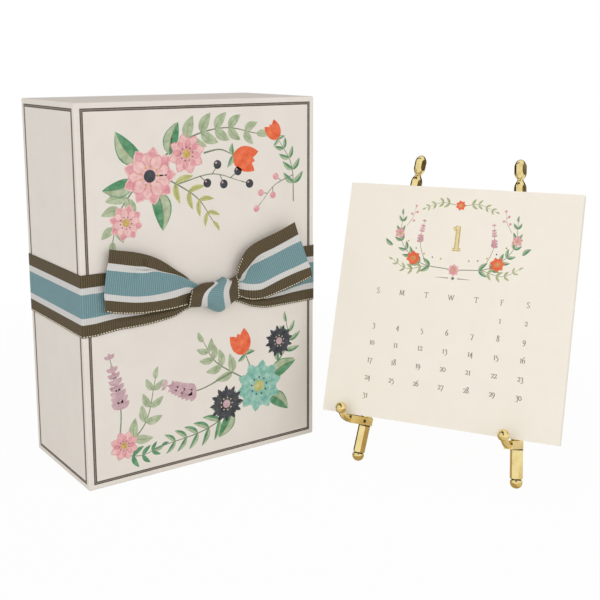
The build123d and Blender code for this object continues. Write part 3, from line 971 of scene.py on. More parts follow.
@dataclass(frozen=True)
class PhotoFace:
    """The lid's front as the photograph shows it: turns a pixel and a stand-off into a place on the lid."""

    # Lower left, lower right, upper right and upper left corner of the front, in pixels
    corners: Points = ((84.1, 501.8), (309.8, 430.9), (314.2, 94.3), (78.0, 102.1))
    # The pixel that lines square to the front run to, and the share of the way there that a millimetre takes
    vanishing: tuple[float, float] = (-254.0, 89.0)
    nearing: float = 0.0021

    def place(self, pixels: Points, off: Sequence[float]) -> np.ndarray:
        """Finds where points of the photograph lie.

        Args:
            pixels: The points, in pixels.
            off: How far each of them stands off the lid's front, in millimetres.

        Returns:
            The points in the row frame, in millimetres.
        """
        low, high = box_of("box_lid")
        face = ((low[0], low[2]), (high[0], low[2]), (high[0], high[2]), (low[0], high[2]))
        rows, ends = [], []
        for (u, v), (x, z) in zip(self.corners, face):
            rows += [(u, v, 1, 0, 0, 0, -u * x, -v * x), (0, 0, 0, u, v, 1, -u * z, -v * z)]
            ends += [x, z]
        table = np.append(np.linalg.solve(np.array(rows, float), np.array(ends)), 1.0).reshape(3, 3)
        far = np.asarray(off, float)
        flat = self.vanishing + (np.asarray(pixels, float) - self.vanishing) * (1 - self.nearing * far)[..., None]
        x, z, w = np.moveaxis(np.insert(flat, 2, 1.0, axis=-1) @ table.T, -1, 0)
        return np.stack([x / w, low[1] - far, z / w], -1)


# An edge of the ribbon or of one of its stripes: share across, stand-offs along it, pixels from the knot out
Rail = tuple[float, tuple[float, ...], Points]
# A section of the knot: share across, stand-off at its ends and middle, pixels of its upper, middle and lower point
Turn = tuple[float, float, float, Points]


@dataclass
class Ribbon:
    """Striped grosgrain ribbon tied round the lid: a band, two tails and a knot, cut from one ribbon."""

    photo: PhotoFace = PhotoFace()
    width: float = 33.0
    thickness: float = 0.4
    rib_pitch: float = 1.2
    rib_height: float = 0.11
    rib_steps: int = 4
    band_steps: int = 40
    across_steps: int = 64
    tail_steps: int = 160
    edge_steps: int = 8
    fine_steps: int = 12
    knot_turn: float = 31.0
    # How full the knot's turn is: powers of its rise and of its stand-off
    knot_fullness: tuple[float, float] = (0.92, 0.8)
    clearance: float = 0.08
    corner_radius: float = 1.1
    corner_share: float = 0.45
    corner_steps: int = 7
    turn_in: float = 14.0
    turn_in_gap: float = 2.0
    stitch_pitch: float = 1.55
    stitch_length: float = 0.95
    stitch_radius: float = 0.33
    stitch_in: float = 0.6
    # How high a stitch's middle lies over the ribbon's, in thicknesses
    stitch_seat: float = 0.6
    stitch_sides: int = 6
    # Each rim of a stitch: its place along the stitch's half length and its share of the radius
    stitch_rims: Points = ((-1.0, 0.3), (-0.5, 0.95), (0.5, 0.95), (1.0, 0.3))
    # Where the band's gathers start and end across it, and how many there are
    gather: tuple[float, float] = (0.04, 0.96)
    gather_waves: int = 5
    # How soon the gathers rise from their ends, and how finely their steepness is searched, up to its greatest
    gather_rise: float = 0.4
    gather_steepest: float = 2.0
    gather_tries: int = 26
    # From here out to the lid's corners the band is at its full width, and over this length it eases to it
    band_full: float = 66.0
    band_ease: float = 14.0
    # The band's lower and upper edge over the lid's front, in pixels
    band_lower: Points = ((84, 338.6), (105, 334), (125, 330.5), (145, 326), (165, 320), (175, 316), (185, 309.5),
        (200, 303), (218, 300), (235, 299.5), (250, 304), (265, 305), (280, 303), (312, 299.8))
    band_upper: Points = ((84, 274.3), (105, 274), (135, 276), (165, 281), (185, 288), (200, 289), (218, 288),
        (235, 285), (250, 279), (270, 268), (290, 254), (312, 245))
    left_rails: tuple[Rail, ...] = (
        (0, (4, 4, 4.2, 4.2, 4.2), ((205, 301.5), (196, 303.6), (187, 305.6), (175, 309), (160, 312.3), (145, 314.8),
         (130, 315.9), (115, 315.8), (104.5, 314.5))),
        (0.205, (4, 4, 4.4, 4.4, 4.3), ((207, 290), (199, 290.5), (191, 292.4), (183, 294.8), (175, 298),
         (160, 301.4), (145, 303.4), (130, 303.9), (104.3, 302.3))),
        (0.31, (4, 4.2, 4.6, 4.6, 4.4), ((208, 288.6), (196, 287.7), (187, 287), (180, 289), (165, 293.5),
         (150, 296.6), (135, 297.8), (118, 297), (103.9, 295.5))),
        (0.69, (4, 4.8, 5.2, 4.8, 4.4), ((208, 287.4), (200, 285), (188, 279), (177, 275.2), (165, 273),
         (155, 271.8), (145, 273.6), (130, 273.3), (107, 271.3))),
        (0.7425, (2.6, 2, 1.8, 1.8, 3.4, 4.4, 4.4), ((208, 290), (200, 289), (188, 283.6), (176, 279.6),
         (164, 276.6), (153, 271.6), (142, 270.6), (107.8, 267.7))),
        (0.795, (1.8, 2.4, 4.4, 4.6, 4.4), ((206, 291), (198, 289), (188, 279), (176, 274.4), (163, 271.6),
         (154, 268.9), (145, 267.4), (130, 266.2), (108.5, 264))),
        (1, (1.4, 2, 4.2, 4.4, 4.3), ((203, 294), (196, 289), (188, 277), (177, 269.6), (163, 260.6), (150, 255.3),
         (135, 252.3), (120, 251), (110, 250))),
    )
    right_rails: tuple[Rail, ...] = (
        (0, (4.2, 4.2, 4.8, 6.2, 7.4, 9), ((228, 294), (239.5, 295.3), (247, 297.8), (255, 298.3), (263, 297),
         (272, 293.6), (284, 288.2), (298, 281.6), (313, 274))),
        (0.205, (4.2, 4.4, 5.4, 6.6, 7.6, 9), ((228, 287.5), (240, 287.6), (247, 288.6), (255, 288.7), (262, 287.5),
         (270, 283.5), (282, 277), (296, 270.3), (311.5, 264.3))),
        (0.31, (4.2, 4.6, 5.8, 6.6, 7.8, 9), ((228, 282.5), (240, 280.9), (247, 282.2), (255, 282.5), (262, 281.4),
         (270, 277.5), (282, 271), (296, 264.6), (309, 258.3))),
        (0.69, (4.4, 3.6, 4.4, 6.2, 7.6, 9), ((229, 281.4), (240, 280.5), (244, 278), (247, 272), (250, 265.2),
         (260, 259.5), (275, 252), (290, 244), (302.5, 238))),
        (0.7425, (4.4, 4.4, 5.2, 6.2, 7.6, 9), ((229, 280.7), (239.6, 279.5), (243.6, 275), (248, 268.5),
         (252.5, 262.5), (261, 256.2), (275, 248.6), (290, 240.6), (301.3, 234.8))),
        (0.795, (4.6, 6.4, 6.6, 6.4, 7.6, 9), ((229, 280), (239.8, 278), (243.5, 272.5), (248.5, 266.5),
         (254, 259.6), (261, 252.8), (275, 245.5), (290, 237.2), (300, 231.5))),
        (1, (4.6, 5.4, 5.4, 5.8, 7.6, 9), ((230, 279), (238.3, 277), (238.3, 270), (239.6, 263.5), (243.5, 255),
         (250, 245.8), (262, 237.8), (280, 228.9), (296.5, 219.3))),
    )
    # Soft dents: the pixel of each, then its reach and its depth
    left_dents: tuple[tuple[Points, float, float], ...] = (((146, 263), 2.2, 1.8), ((137, 277), 2.4, 1.2))
    right_dents: tuple[tuple[Points, float, float], ...] = (((262, 270), 2.8, 0.9),)
    turns: tuple[Turn, ...] = (
        (0, 4.6, 7.4, ((191.6, 291.2), (190.6, 297.8), (187.6, 306.5))),
        (0.1, 3.6, 8.6, ((201, 283.8), (198.6, 294.8), (193, 306.4))),
        (0.205, 2, 9.4, ((213.4, 281.2), (205.4, 293.5), (198.2, 305.8))),
        (0.31, 0.7, 10.4, ((216.2, 280.3), (209.4, 293.8), (204.4, 305.2))),
        (0.5, 0.7, 11.4, ((220, 278), (217, 294), (215.4, 310))),
        (0.69, 0.7, 11.6, ((223.6, 275.8), (224.6, 292), (220.8, 308))),
        (0.795, 1.4, 10.8, ((229.2, 278.2), (230, 291), (227, 302.8))),
        (1, 4.8, 8.4, ((237.4, 274.2), (239.8, 286.5), (238, 296))),
    )
    # Woven grosgrain: brown and blue stripes parted by pale lines, dull and ribbed; each stripe's last number is how
    # strong the painted shade in its furrows is
    cloth: Grosgrain = Grosgrain("striped_woven_grosgrain", (
        (0.0, "#5F523B", 0.8), (0.205, "#D4D2CF", 0.2), (0.31, "#799BA0", 0.55), (0.69, "#D4D2CF", 0.2),
        (0.795, "#5F523B", 0.8)), rib_mm=1.2)
    # Spun cotton thread: matt cream dashes along the edges
    thread: Fibrous = Fibrous("cream_selvage_thread", "#EFE8D3", "#D9CFB4", cloud_mm=2.0, fibre_mm=0.2, tooth_mm=0.03)

    def strip(self, name: str, node: str, grid: np.ndarray, run: np.ndarray) -> bpy.types.Object:
        """Makes a closed, ribbed strip of ribbon that stands for a CAD node.

        Args:
            name: The piece's name.
            node: The CAD node that it replaces.
            grid: Points of the ribbon's middle surface, along by across by three, in millimetres.
            run: The distance along the ribbon at each step along it.

        Returns:
            The strip, in its own cloth.
        """
        rows, columns = grid.shape[:2]
        along, across = np.gradient(grid, axis=0), np.gradient(grid, axis=1)
        normal = np.cross(along, across)
        normal /= np.linalg.norm(normal, axis=2)[..., None]
        rib = self.rib_height * np.cos(2 * np.pi * run / self.rib_pitch)[:, None, None]
        half = normal * (self.thickness / 2 + rib)
        verts = np.concatenate([grid + half, grid - half]).reshape(-1, 3)
        index = np.arange(rows * columns).reshape(rows, columns)
        quads = np.stack([index[:-1, :-1], index[1:, :-1], index[1:, 1:], index[:-1, 1:]], -1).reshape(-1, 4)
        far = rows * columns
        rim = np.concatenate([index[0, :-1], index[:-1, -1], index[-1, :0:-1], index[:0:-1, 0]])
        after = np.roll(rim, -1)
        sides = np.stack([rim, after, after + far, rim + far], -1)
        faces = np.concatenate([quads, quads[:, ::-1] + far, sides]).tolist()
        piece = new_object(name, "box", verts, faces, rounded=True)
        shares = np.tile(np.linspace(0, 1, columns), 2 * rows)
        runs = np.tile(np.repeat(run * MM, columns), 2)
        corner = np.empty(len(piece.data.loops), int)
        piece.data.loops.foreach_get("vertex_index", corner)
        layer = piece.data.uv_layers.new(name="Weave")
        layer.uv.foreach_set("vector", np.stack([shares[corner], runs[corner]], 1).astype(np.float32).ravel())
        self.cloth.dress(piece)
        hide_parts(node)
        return piece

    def selvage(self, name: str, grid: np.ndarray, seams: Sequence[tuple[int, float]]) -> bpy.types.Object:
        """Sews a row of thread stitches along a strip's edges, on its outer face.

        Args:
            name: The piece's name.
            grid: Points of the ribbon's middle surface, as for its strip.
            seams: The columns of the grid that are sewn, 0 or -1, and up to which share of the way along.

        Returns:
            The stitches.
        """
        middle = sum(box_of("box_lid")) / 2
        ring = circle(self.stitch_sides)
        verts, faces = [], []
        for edge, reach_along in seams:
            line, inner = grid[:, edge], grid[:, 2 if edge == 0 else -3]
            run = run_of(line)
            end = run[-1] * reach_along - self.stitch_pitch / 2
            for spot in np.arange(self.stitch_pitch, end, self.stitch_pitch):
                i = int(np.clip(np.searchsorted(run, spot), 1, len(run) - 2))
                ahead = line[i + 1] - line[i - 1]
                ahead /= np.linalg.norm(ahead)
                inward = inner[i] - line[i]
                inward /= np.linalg.norm(inward)
                up = np.cross(ahead, inward)
                up *= np.sign(up[:2] @ (line[i] - middle)[:2]) / np.linalg.norm(up)
                seat = line[i] + inward * self.stitch_in + up * self.thickness * self.stitch_seat
                faces += tube(len(self.stitch_rims), self.stitch_sides, len(verts))
                for share, girth in self.stitch_rims:
                    spine = seat + ahead * share * self.stitch_length / 2
                    verts.extend(spine + girth * self.stitch_radius * ring @ np.array([inward, up]))
        piece = new_object(name, "box", verts, faces, rounded=True)
        self.thread.dress(piece)
        return piece

    def gathered(self, span: float) -> np.ndarray:
        """Works out a section across the band, in waves, whose length is the ribbon's own width.

        Args:
            span: The width that the band is drawn together to.

        Returns:
            Heights off the lid's face and places across, in millimetres.
        """
        share = np.linspace(0, 1, self.band_steps)
        inside = np.clip((share - self.gather[0]) / (self.gather[1] - self.gather[0]), 0, 1)
        wave = np.sin(2 * np.pi * self.gather_waves * inside) * np.sin(np.pi * inside) ** self.gather_rise
        low, high = 0.0, self.gather_steepest
        for _ in range(self.gather_tries):
            steep = (low + high) / 2
            if np.mean(np.cos(steep * wave)) * self.width > span:
                low = steep
            else:
                high = steep
        step = self.width / (self.band_steps - 1)
        turn = steep * (wave[1:] + wave[:-1]) / 2
        across, height = (np.concatenate([[0], np.cumsum(way(turn))]) * step for way in (np.cos, np.sin))
        height -= share * height[-1]
        return np.stack([height - height.min(), across * min(1.0, span / across[-1])])

    def band(self, level: float) -> np.ndarray:
        """Lays the band over the lid's sides and front, with its ends turned in over the rear rim.

        Args:
            level: The band's middle line.

        Returns:
            The band's grid of points.
        """
        low, high = box_of("box_lid")
        off = self.thickness / 2 + self.clearance
        inner = box_of("ribbon_band")[1][0] - 2 * self.thickness - self.turn_in_gap
        right, rear, front = high[0] + off, high[1] + off, low[1] - off
        plan = [(inner, high[1] - self.turn_in), (inner, rear), (right, rear), (right, front)]
        plan += [(-x, y) for x, y in plan[::-1]]
        path = [np.array([plan[0]])]
        for a, b, c in zip(plan, plan[1:], plan[2:]):
            a, b, c = (np.array(p, float) for p in (a, b, c))
            back, ahead = (a - b) / np.linalg.norm(a - b), (c - b) / np.linalg.norm(c - b)
            shorter = min(np.linalg.norm(a - b), np.linalg.norm(c - b))
            radius = min(self.corner_radius, self.corner_share * shorter)
            t = np.linspace(0, np.pi / 2, self.corner_steps)[:, None]
            path.append(b + radius * (back + ahead) - radius * (back * np.sin(t) + ahead * np.cos(t)))
        path.append(np.array([plan[-1]]))
        path = np.concatenate(path)
        run = run_of(path)
        spots = np.arange(0, run[-1], self.rib_pitch / self.rib_steps)
        path = np.stack([np.interp(spots, run, path[:, k]) for k in (0, 1)], 1)
        ahead = np.gradient(path, axis=0)
        ahead /= np.linalg.norm(ahead, axis=1)[:, None]
        outward = np.stack([-ahead[:, 1], ahead[:, 0]], 1)
        curves = [smooth(edge, self.edge_steps) for edge in (self.band_lower, self.band_upper)]
        edges = [self.photo.place(curve, np.full(len(curve), off)) for curve in curves]
        grid = np.empty((len(path), self.band_steps, 3))
        for i, (spot, out) in enumerate(zip(path, outward)):
            lower, upper = level - self.width / 2, level + self.width / 2
            if spot[1] < low[1]:
                free = np.clip((self.band_full - abs(spot[0])) / self.band_ease, 0, 1)
                ends = [np.interp(spot[0], edge[:, 0], edge[:, 2]) for edge in edges]
                lower, upper = lower + free * max(ends[0] - lower, 0), upper - free * max(upper - ends[1], 0)
            height, across = self.gathered(upper - lower)
            grid[i, :, :2] = spot + out * height[:, None]
            grid[i, :, 2] = lower + across
        return grid

    def tail(self, rails: Sequence[Rail], dents: Sequence[tuple[Points, float, float]]) -> np.ndarray:
        """Opens a tail from the knot to its straight cut end, along its edges and those of its stripes.

        Args:
            rails: The edges, in order across the ribbon.
            dents: Soft dents in the cloth.

        Returns:
            The tail's grid of points.
        """
        even = np.linspace(0, 1, self.tail_steps)
        lines = []
        for _, off, pixels in rails:
            line = smooth(pixels, self.fine_steps)
            run = run_of(line)
            spots = np.stack([np.interp(even, run / run[-1], line[:, k]) for k in (0, 1)], 1)
            stand = smooth([(v,) for v in off], self.fine_steps)[:, 0]
            lines.append(self.photo.place(spots, np.interp(even, np.linspace(0, 1, len(stand)), stand)))
        shares = np.array([[rail[0]] for rail in rails])
        across = np.linspace(0, 1, self.across_steps)
        grid = np.empty((len(even), self.across_steps, 3))
        for row, section in zip(grid, np.stack(lines, 1)):
            curve = smooth(np.hstack([section, shares]), self.fine_steps)
            row[:] = np.stack([np.interp(across, curve[:, 3], curve[:, k]) for k in range(3)], 1)
        for pixel, reach, depth in dents:
            spot = self.photo.place(pixel, rails[0][1][-1])
            far = np.linalg.norm((grid - spot)[..., [0, 2]], axis=2) / reach
            grid[..., 1] += depth * np.exp(-far ** 2)
        run = run_of(grid[:, self.across_steps // 2])
        steps = np.interp(np.arange(0, run[-1], self.rib_pitch / self.rib_steps), run, np.arange(len(run)))
        low = np.minimum(steps.astype(int), len(run) - 2)
        part = (steps - low)[:, None, None]
        return grid[low] * (1 - part) + grid[low + 1] * part

    def knot(self) -> np.ndarray:
        """Wraps the knot's turn of ribbon over the band, from its upper to its lower side.

        Returns:
            The knot's grid of points.
        """
        table = []
        for share, base, depth, pixels in self.turns:
            table.append([*self.photo.place(pixels, (base, depth, base)).ravel(), share])
        curve = smooth(table, self.fine_steps)
        across = np.linspace(0, 1, self.across_steps)
        lines = [np.interp(across, curve[:, 9], column) for column in curve[:, :9].T]
        upper, middle, lower = np.stack(lines).reshape(3, 3, -1)
        rows = int(self.knot_turn / self.rib_pitch * self.rib_steps)
        turn = np.linspace(np.pi / 2, -np.pi / 2, rows)[:, None]
        rise = np.sign(np.sin(turn)) * np.abs(np.sin(turn)) ** self.knot_fullness[0]
        grid = np.empty((rows, self.across_steps, 3))
        for k in (0, 2):
            half, bow = (upper[k] - lower[k]) / 2, (upper[k] + lower[k]) / 2 - middle[k]
            grid[..., k] = middle[k] + half * rise + bow * rise ** 2
        grid[..., 1] = upper[1] + (middle[1] - upper[1]) * np.abs(np.cos(turn)) ** self.knot_fullness[1]
        return grid

    def build(self) -> None:
        """Ties the ribbon round the lid, strip by strip, and sews the strips' edges."""
        level = sum(box_of("ribbon_band"))[2] / 2
        # Each strip: its grid, how it is held, what it rests on, and which edges are sewn how far along
        strips = {
            "ribbon_band": (self.band(level), "stretched", "box_lid", ((0, 1.0),)),
            "ribbon_tail_left": (self.tail(self.left_rails, self.left_dents), "gathered", "woven_ribbon_knot",
                                 ((0, 1.0),)),
            "ribbon_tail_right": (self.tail(self.right_rails, self.right_dents), "gathered", "woven_ribbon_knot",
                                  ((0, 1.0), (-1, 0.32))),
            "ribbon_knot": (self.knot(), "folded", "woven_ribbon_band", ((0, 1.0), (-1, 1.0))),
        }
        for node, (grid, held, rest, seams) in strips.items():
            run = run_of(grid[:, grid.shape[1] // 2])
            piece = self.strip("woven_" + node, node, grid, run)
            stitches = self.selvage("stitched_" + node + "_selvage", grid, seams)
            LOG.info("%s: %.0f mm of ribbon", piece.name, run[-1])


@dataclass
class MonthCards:
    """Twelve month cards: a number in a wreath of sprigs, the week's initials and the days."""

    film: float = 0.006
    step: float = 0.0011
    column: float = 14.23
    column_shift: float = 0.4
    # Baselines of the week's initials and of the first week, and the fall to the next
    weekday_base: float = 69.9
    first_base: float = 60.1
    row: float = 9.92
    first_weekday: int = 5
    month_days: tuple[int, ...] = (31, 28, 31, 30, 31, 30, 31, 31, 30, 31, 30, 31)
    header_level: float = 104.0
    number_drop: float = 5.6
    figures: Typeface = Typeface(2.3, (0.46, 0.2))
    capitals: Typeface = Typeface(2.3, (0.42, 0.2))
    number_face: Typeface = Typeface(13.0, (2.6, 1.7))
    number_core: Typeface = Typeface(13.0, (1.5, 0.85))
    ornament_level: float = 82.1
    diamond_half: float = 1.1
    # Where a fine rule of the ornament starts and ends, and how thick it is
    ornament_rule: tuple[float, float, float] = (2.6, 10.0, 0.5)

    def plate(self, node: str, lift: Sequence[float]) -> Plate:
        """Finds a card's front face.

        Args:
            node: The card's CAD node.
            lift: The way that the card is lifted, up along its face.

        Returns:
            The plate from the middle of the card's lower edge.
        """
        mesh = frame["nodes"][node].data
        corners = np.array([v.co for v in mesh.vertices], float) / MM
        up = np.array(lift, float) / np.linalg.norm(lift)
        flat = corners - np.outer(corners @ up, up)
        out = np.linalg.svd(flat - flat.mean(0))[2][1]
        out = -out if out[1] > 0 else out
        right = np.cross(up, out)
        places = corners @ np.stack([right, up, out], 1)
        low, high = places.min(0), places.max(0)
        origin = right * (low[0] + high[0]) / 2 + up * low[1] + out * high[2]
        return Plate(Vector(origin), Vector(right), Vector(up))

    def mirrored(self, side: int, *points: Sequence[float]) -> list[tuple[float, float]]:
        """Returns points of the wreath about the number's middle, as they are or mirrored to its left."""
        return [(side * x, self.header_level + y) for x, y in points]

    def wreath(self, page: Drawing, month: int) -> None:
        """Draws two mirrored sprigs below and beside the month's number.

        Args:
            page: The card's drawing.
            month: The month, from 1.
        """
        art = Botanist(page)
        ways = ((Ink.CORAL, Ink.ROSE), (Ink.ROSE, Ink.BLUSH), (Ink.CORAL, Ink.GOLD), (Ink.MAUVE, Ink.ROSE))
        bloom, bud = ways[(month - 1) % len(ways)]
        fresh, pale = (Ink.LEAF, Ink.SAGE), (Ink.SAGE, Ink.OLIVE)
        dark, light = (Ink.GOLD, Ink.CHARCOAL), (Ink.GOLD, Ink.STRAW)
        for side in (1, -1):
            art.sprig(self.mirrored(side, (3, -17), (20, -14.5), (32, -3), (33, 12)), 7.0, 7, fresh, 0, 0.36, 40)
            art.sprig(self.mirrored(side, (14, -15.6), (27, -18.5), (36, -14)), 5.2, 4, pale, 2, 0.36)
            art.daisy(*self.mirrored(side, (24, -12.2)), 4.2, 7, (bloom, bloom), light, 6, 10 * side)
            art.daisy(*self.mirrored(side, (33.5, 1.5)), 3.2, 6, (bud, Ink.BLUSH), dark, 6, 20 * side)
            art.berries(self.mirrored(side, (30, 6), (27, 11), (26, 16)), 0.75, 4, (bud, Ink.BLUSH), 4)
            for k, at in enumerate(self.mirrored(side, *((8 + 5 * k, 0.55 * k * k - 11.5) for k in range(5)))):
                page.shape(circle(8) * (0.42 if k % 2 else 0.55) + at, dark[k % 2], 1)
            art.sprig(self.mirrored(side, (2, 19.5), (11, 20.5), (20, 17)), 4.6, 4, pale, 2, 0.36)
            art.lavender(self.mirrored(side, (17, -14), (21, -3), (20, 9)), 2.2, 7, (Ink.MAUVE, Ink.ROSE), 3)
            art.leaf(*self.mirrored(side, (37, -6)), 90 - side * 50, 6.0, fresh, 3, 0.4)
        art.daisy((0.0, self.header_level - 17.2), 3.4, 8, (Ink.BLUSH, Ink.ROSE), dark, 6)
        art.daisy((0.0, self.header_level + 19.5), 3.0, 7, (bloom, bloom), light, 6)

    def ornament(self, page: Drawing) -> None:
        """Draws a small diamond between two fine rules over the week's initials.

        Args:
            page: The card's face.
        """
        start, end, thick = self.ornament_rule
        page.shape(circle(4) * self.diamond_half + (0, self.ornament_level), Ink.TYPE, 0)
        for side in (1, -1):
            rule = np.array([(side * x, self.ornament_level) for x in (start, end)])
            page.stroke(rule, (thick, thick), Ink.TYPE, 0, taper=0.3)

    def grid(self, page: Drawing, month: int) -> None:
        """Writes the week's initials and the month's days.

        Args:
            page: The card's drawing.
            month: The month, from 1.
        """
        for i, initial in enumerate("SMTWTFS"):
            at = ((i - 3) * self.column + self.column_shift, self.weekday_base)
            self.capitals.write(page, initial, at, Ink.TYPE, 0)
        start = (self.first_weekday + sum(self.month_days[:month - 1])) % 7
        for day in range(1, self.month_days[month - 1] + 1):
            week, weekday = divmod(start + day - 1, 7)
            at = ((weekday - 3) * self.column + self.column_shift, self.first_base - week * self.row)
            self.figures.write(page, str(day), at, Ink.TYPE, 0)

    def build(self) -> None:
        """Dresses the cards and prints each one's front."""
        lifts = {j["child"]: j["axis"] for j in frame["joints"] if j["name"].endswith("_lift")}
        for month in range(1, len(self.month_days) + 1):
            node, body = f"month_card_{month:02d}", f"card_{month:02d}"
            Board.CARD.value.dress(frame["nodes"][node])
            page = Drawing(self.plate(node, lifts[body]), self.film, self.step)
            self.wreath(page, month)
            self.grid(page, month)
            self.ornament(page)
            at = (0.0, self.header_level - self.number_drop)
            self.number_face.write(page, str(month), at, Ink.GOLD, 8)
            self.number_core.write(page, str(month), at, Ink.STRAW, 12)
            page.build(f"{node}_print", body, "card_stock")


@dataclass
class Easel:
    """The brass easel, whose CAD nodes keep their shape, its set screws, and dark rings of painted shade on its lower
    legs.
    """

    slot: str = "polished_brass"
    screw_ahead: float = 2.4
    screw_radius: float = 0.96
    screw_sides: int = 24
    # The outer share of an arm's reach that gives its direction
    arm_end: float = 0.9
    block_half: float = 2.5
    block_reach: float = 6.0
    # Each dark ring of painted shade on a lower leg: what it lies under, its radius, its bottom and top along the leg
    washers: tuple[tuple[str, float, tuple[float, float]], ...] = (
        ("arm", 3.5, (16.82, 17.42)), ("leg", 2.6, (1.08, 1.72)))
    # Each rim of a screw: how deep it lies under the block's side, its radius as a share, whether it is a hexagon
    screw_rims: tuple[tuple[float, float, bool], ...] = (
        (0.58, 1.0, False), (0.24, 1.0, False), (0.14, 0.88, False), (0.14, 0.56, True), (0.46, 0.56, True))

    def about_leg(self, side: str, node: str) -> tuple[np.ndarray, ...]:
        """Finds where a node's corners lie about the axis of a leg.

        Args:
            side: The leg's side, "left" or "right".
            node: The CAD node.

        Returns:
            The middle of the leg's ball foot, the leg's axis, then the corners along and off it, in millimetres.
        """
        joint = next(j for j in frame["joints"] if j["name"] == f"{side}_arm_swivel")
        foot, axis = np.array(joint["pos_m"]) / MM, np.array(joint["axis"])
        corners = np.array([v.co for v in frame["nodes"][node].data.vertices]) / MM - foot
        along = corners @ axis
        return foot, axis, along, corners - np.outer(along, axis)

    def set_screw(self, side: str) -> bpy.types.Object:
        """Sinks a socket screw into the hole in an arm's block.

        Args:
            side: The arm's side, "left" or "right".

        Returns:
            The screw, riding on its arm.
        """
        foot, axis, along, off = self.about_leg(side, f"{side}_arm")
        reach = np.linalg.norm(off, axis=1)
        ahead = off[reach > self.arm_end * reach.max()].mean(0)
        ahead /= np.linalg.norm(ahead)
        out = np.cross(axis, ahead) * (1 if side == "left" else -1)
        block = along[reach < self.block_reach]
        middle = foot + axis * (block.min() + block.max()) / 2 + ahead * self.screw_ahead
        angles = np.linspace(0, 2 * np.pi, self.screw_sides, endpoint=False)
        corner = np.cos(np.pi / 6) / np.cos(angles % (np.pi / 3) - np.pi / 6)
        rims = []
        for deep, share, hexagon in self.screw_rims:
            size = self.screw_radius * share * (corner if hexagon else 1.0)
            ring = np.outer(np.cos(angles) * size, ahead) + np.outer(np.sin(angles) * size, axis)
            rims.append(middle + out * (self.block_half - deep) + ring)
        piece = new_object(f"{side}_arm_set_screw", f"{side}_arm", np.concatenate(rims),
                           tube(len(rims), self.screw_sides))
        Metal.SCREW.value.dress(piece)
        return piece

    def washer(self, kind: str, side: str, radius: float, levels: Sequence[float]) -> bpy.types.Object:
        """Slips a dark ring of painted shade on a lower leg, under its arm's block or over its ball foot, with its
        corners in line with the leg's.

        Args:
            kind: What the ring lies under, for its name.
            side: The leg's side, "left" or "right".
            radius: From the leg's middle to the washer's corners, in millimetres.
            levels: The ring's bottom and top along the leg, from the middle of its ball foot.

        Returns:
            The ring, riding on the easel.
        """
        foot, axis, _, off = self.about_leg(side, f"{side}_foot")
        ahead = off[np.linalg.norm(off, axis=1).argmax()]
        ring = radius * circle(6) @ np.array([ahead, np.cross(axis, ahead)]) / np.linalg.norm(ahead)
        verts = np.concatenate([foot + axis * level + ring for level in levels])
        piece = new_object(f"{side}_{kind}_washer", "easel", verts, tube(len(levels), len(ring)))
        Board.WASHER.value.dress(piece)
        return piece

    def build(self) -> None:
        """Dresses every node that the record gives the brass, and adds the screws and the dark rings of painted
        shade.
        """
        for part in frame["record"]["subparts"]:
            if part["material_slot"] == self.slot:
                Metal.EASEL.value.dress(frame["nodes"][part["node"]])
        for side in ("left", "right"):
            self.set_screw(side)
            for kind, radius, levels in self.washers:
                self.washer(kind, side, radius, levels)


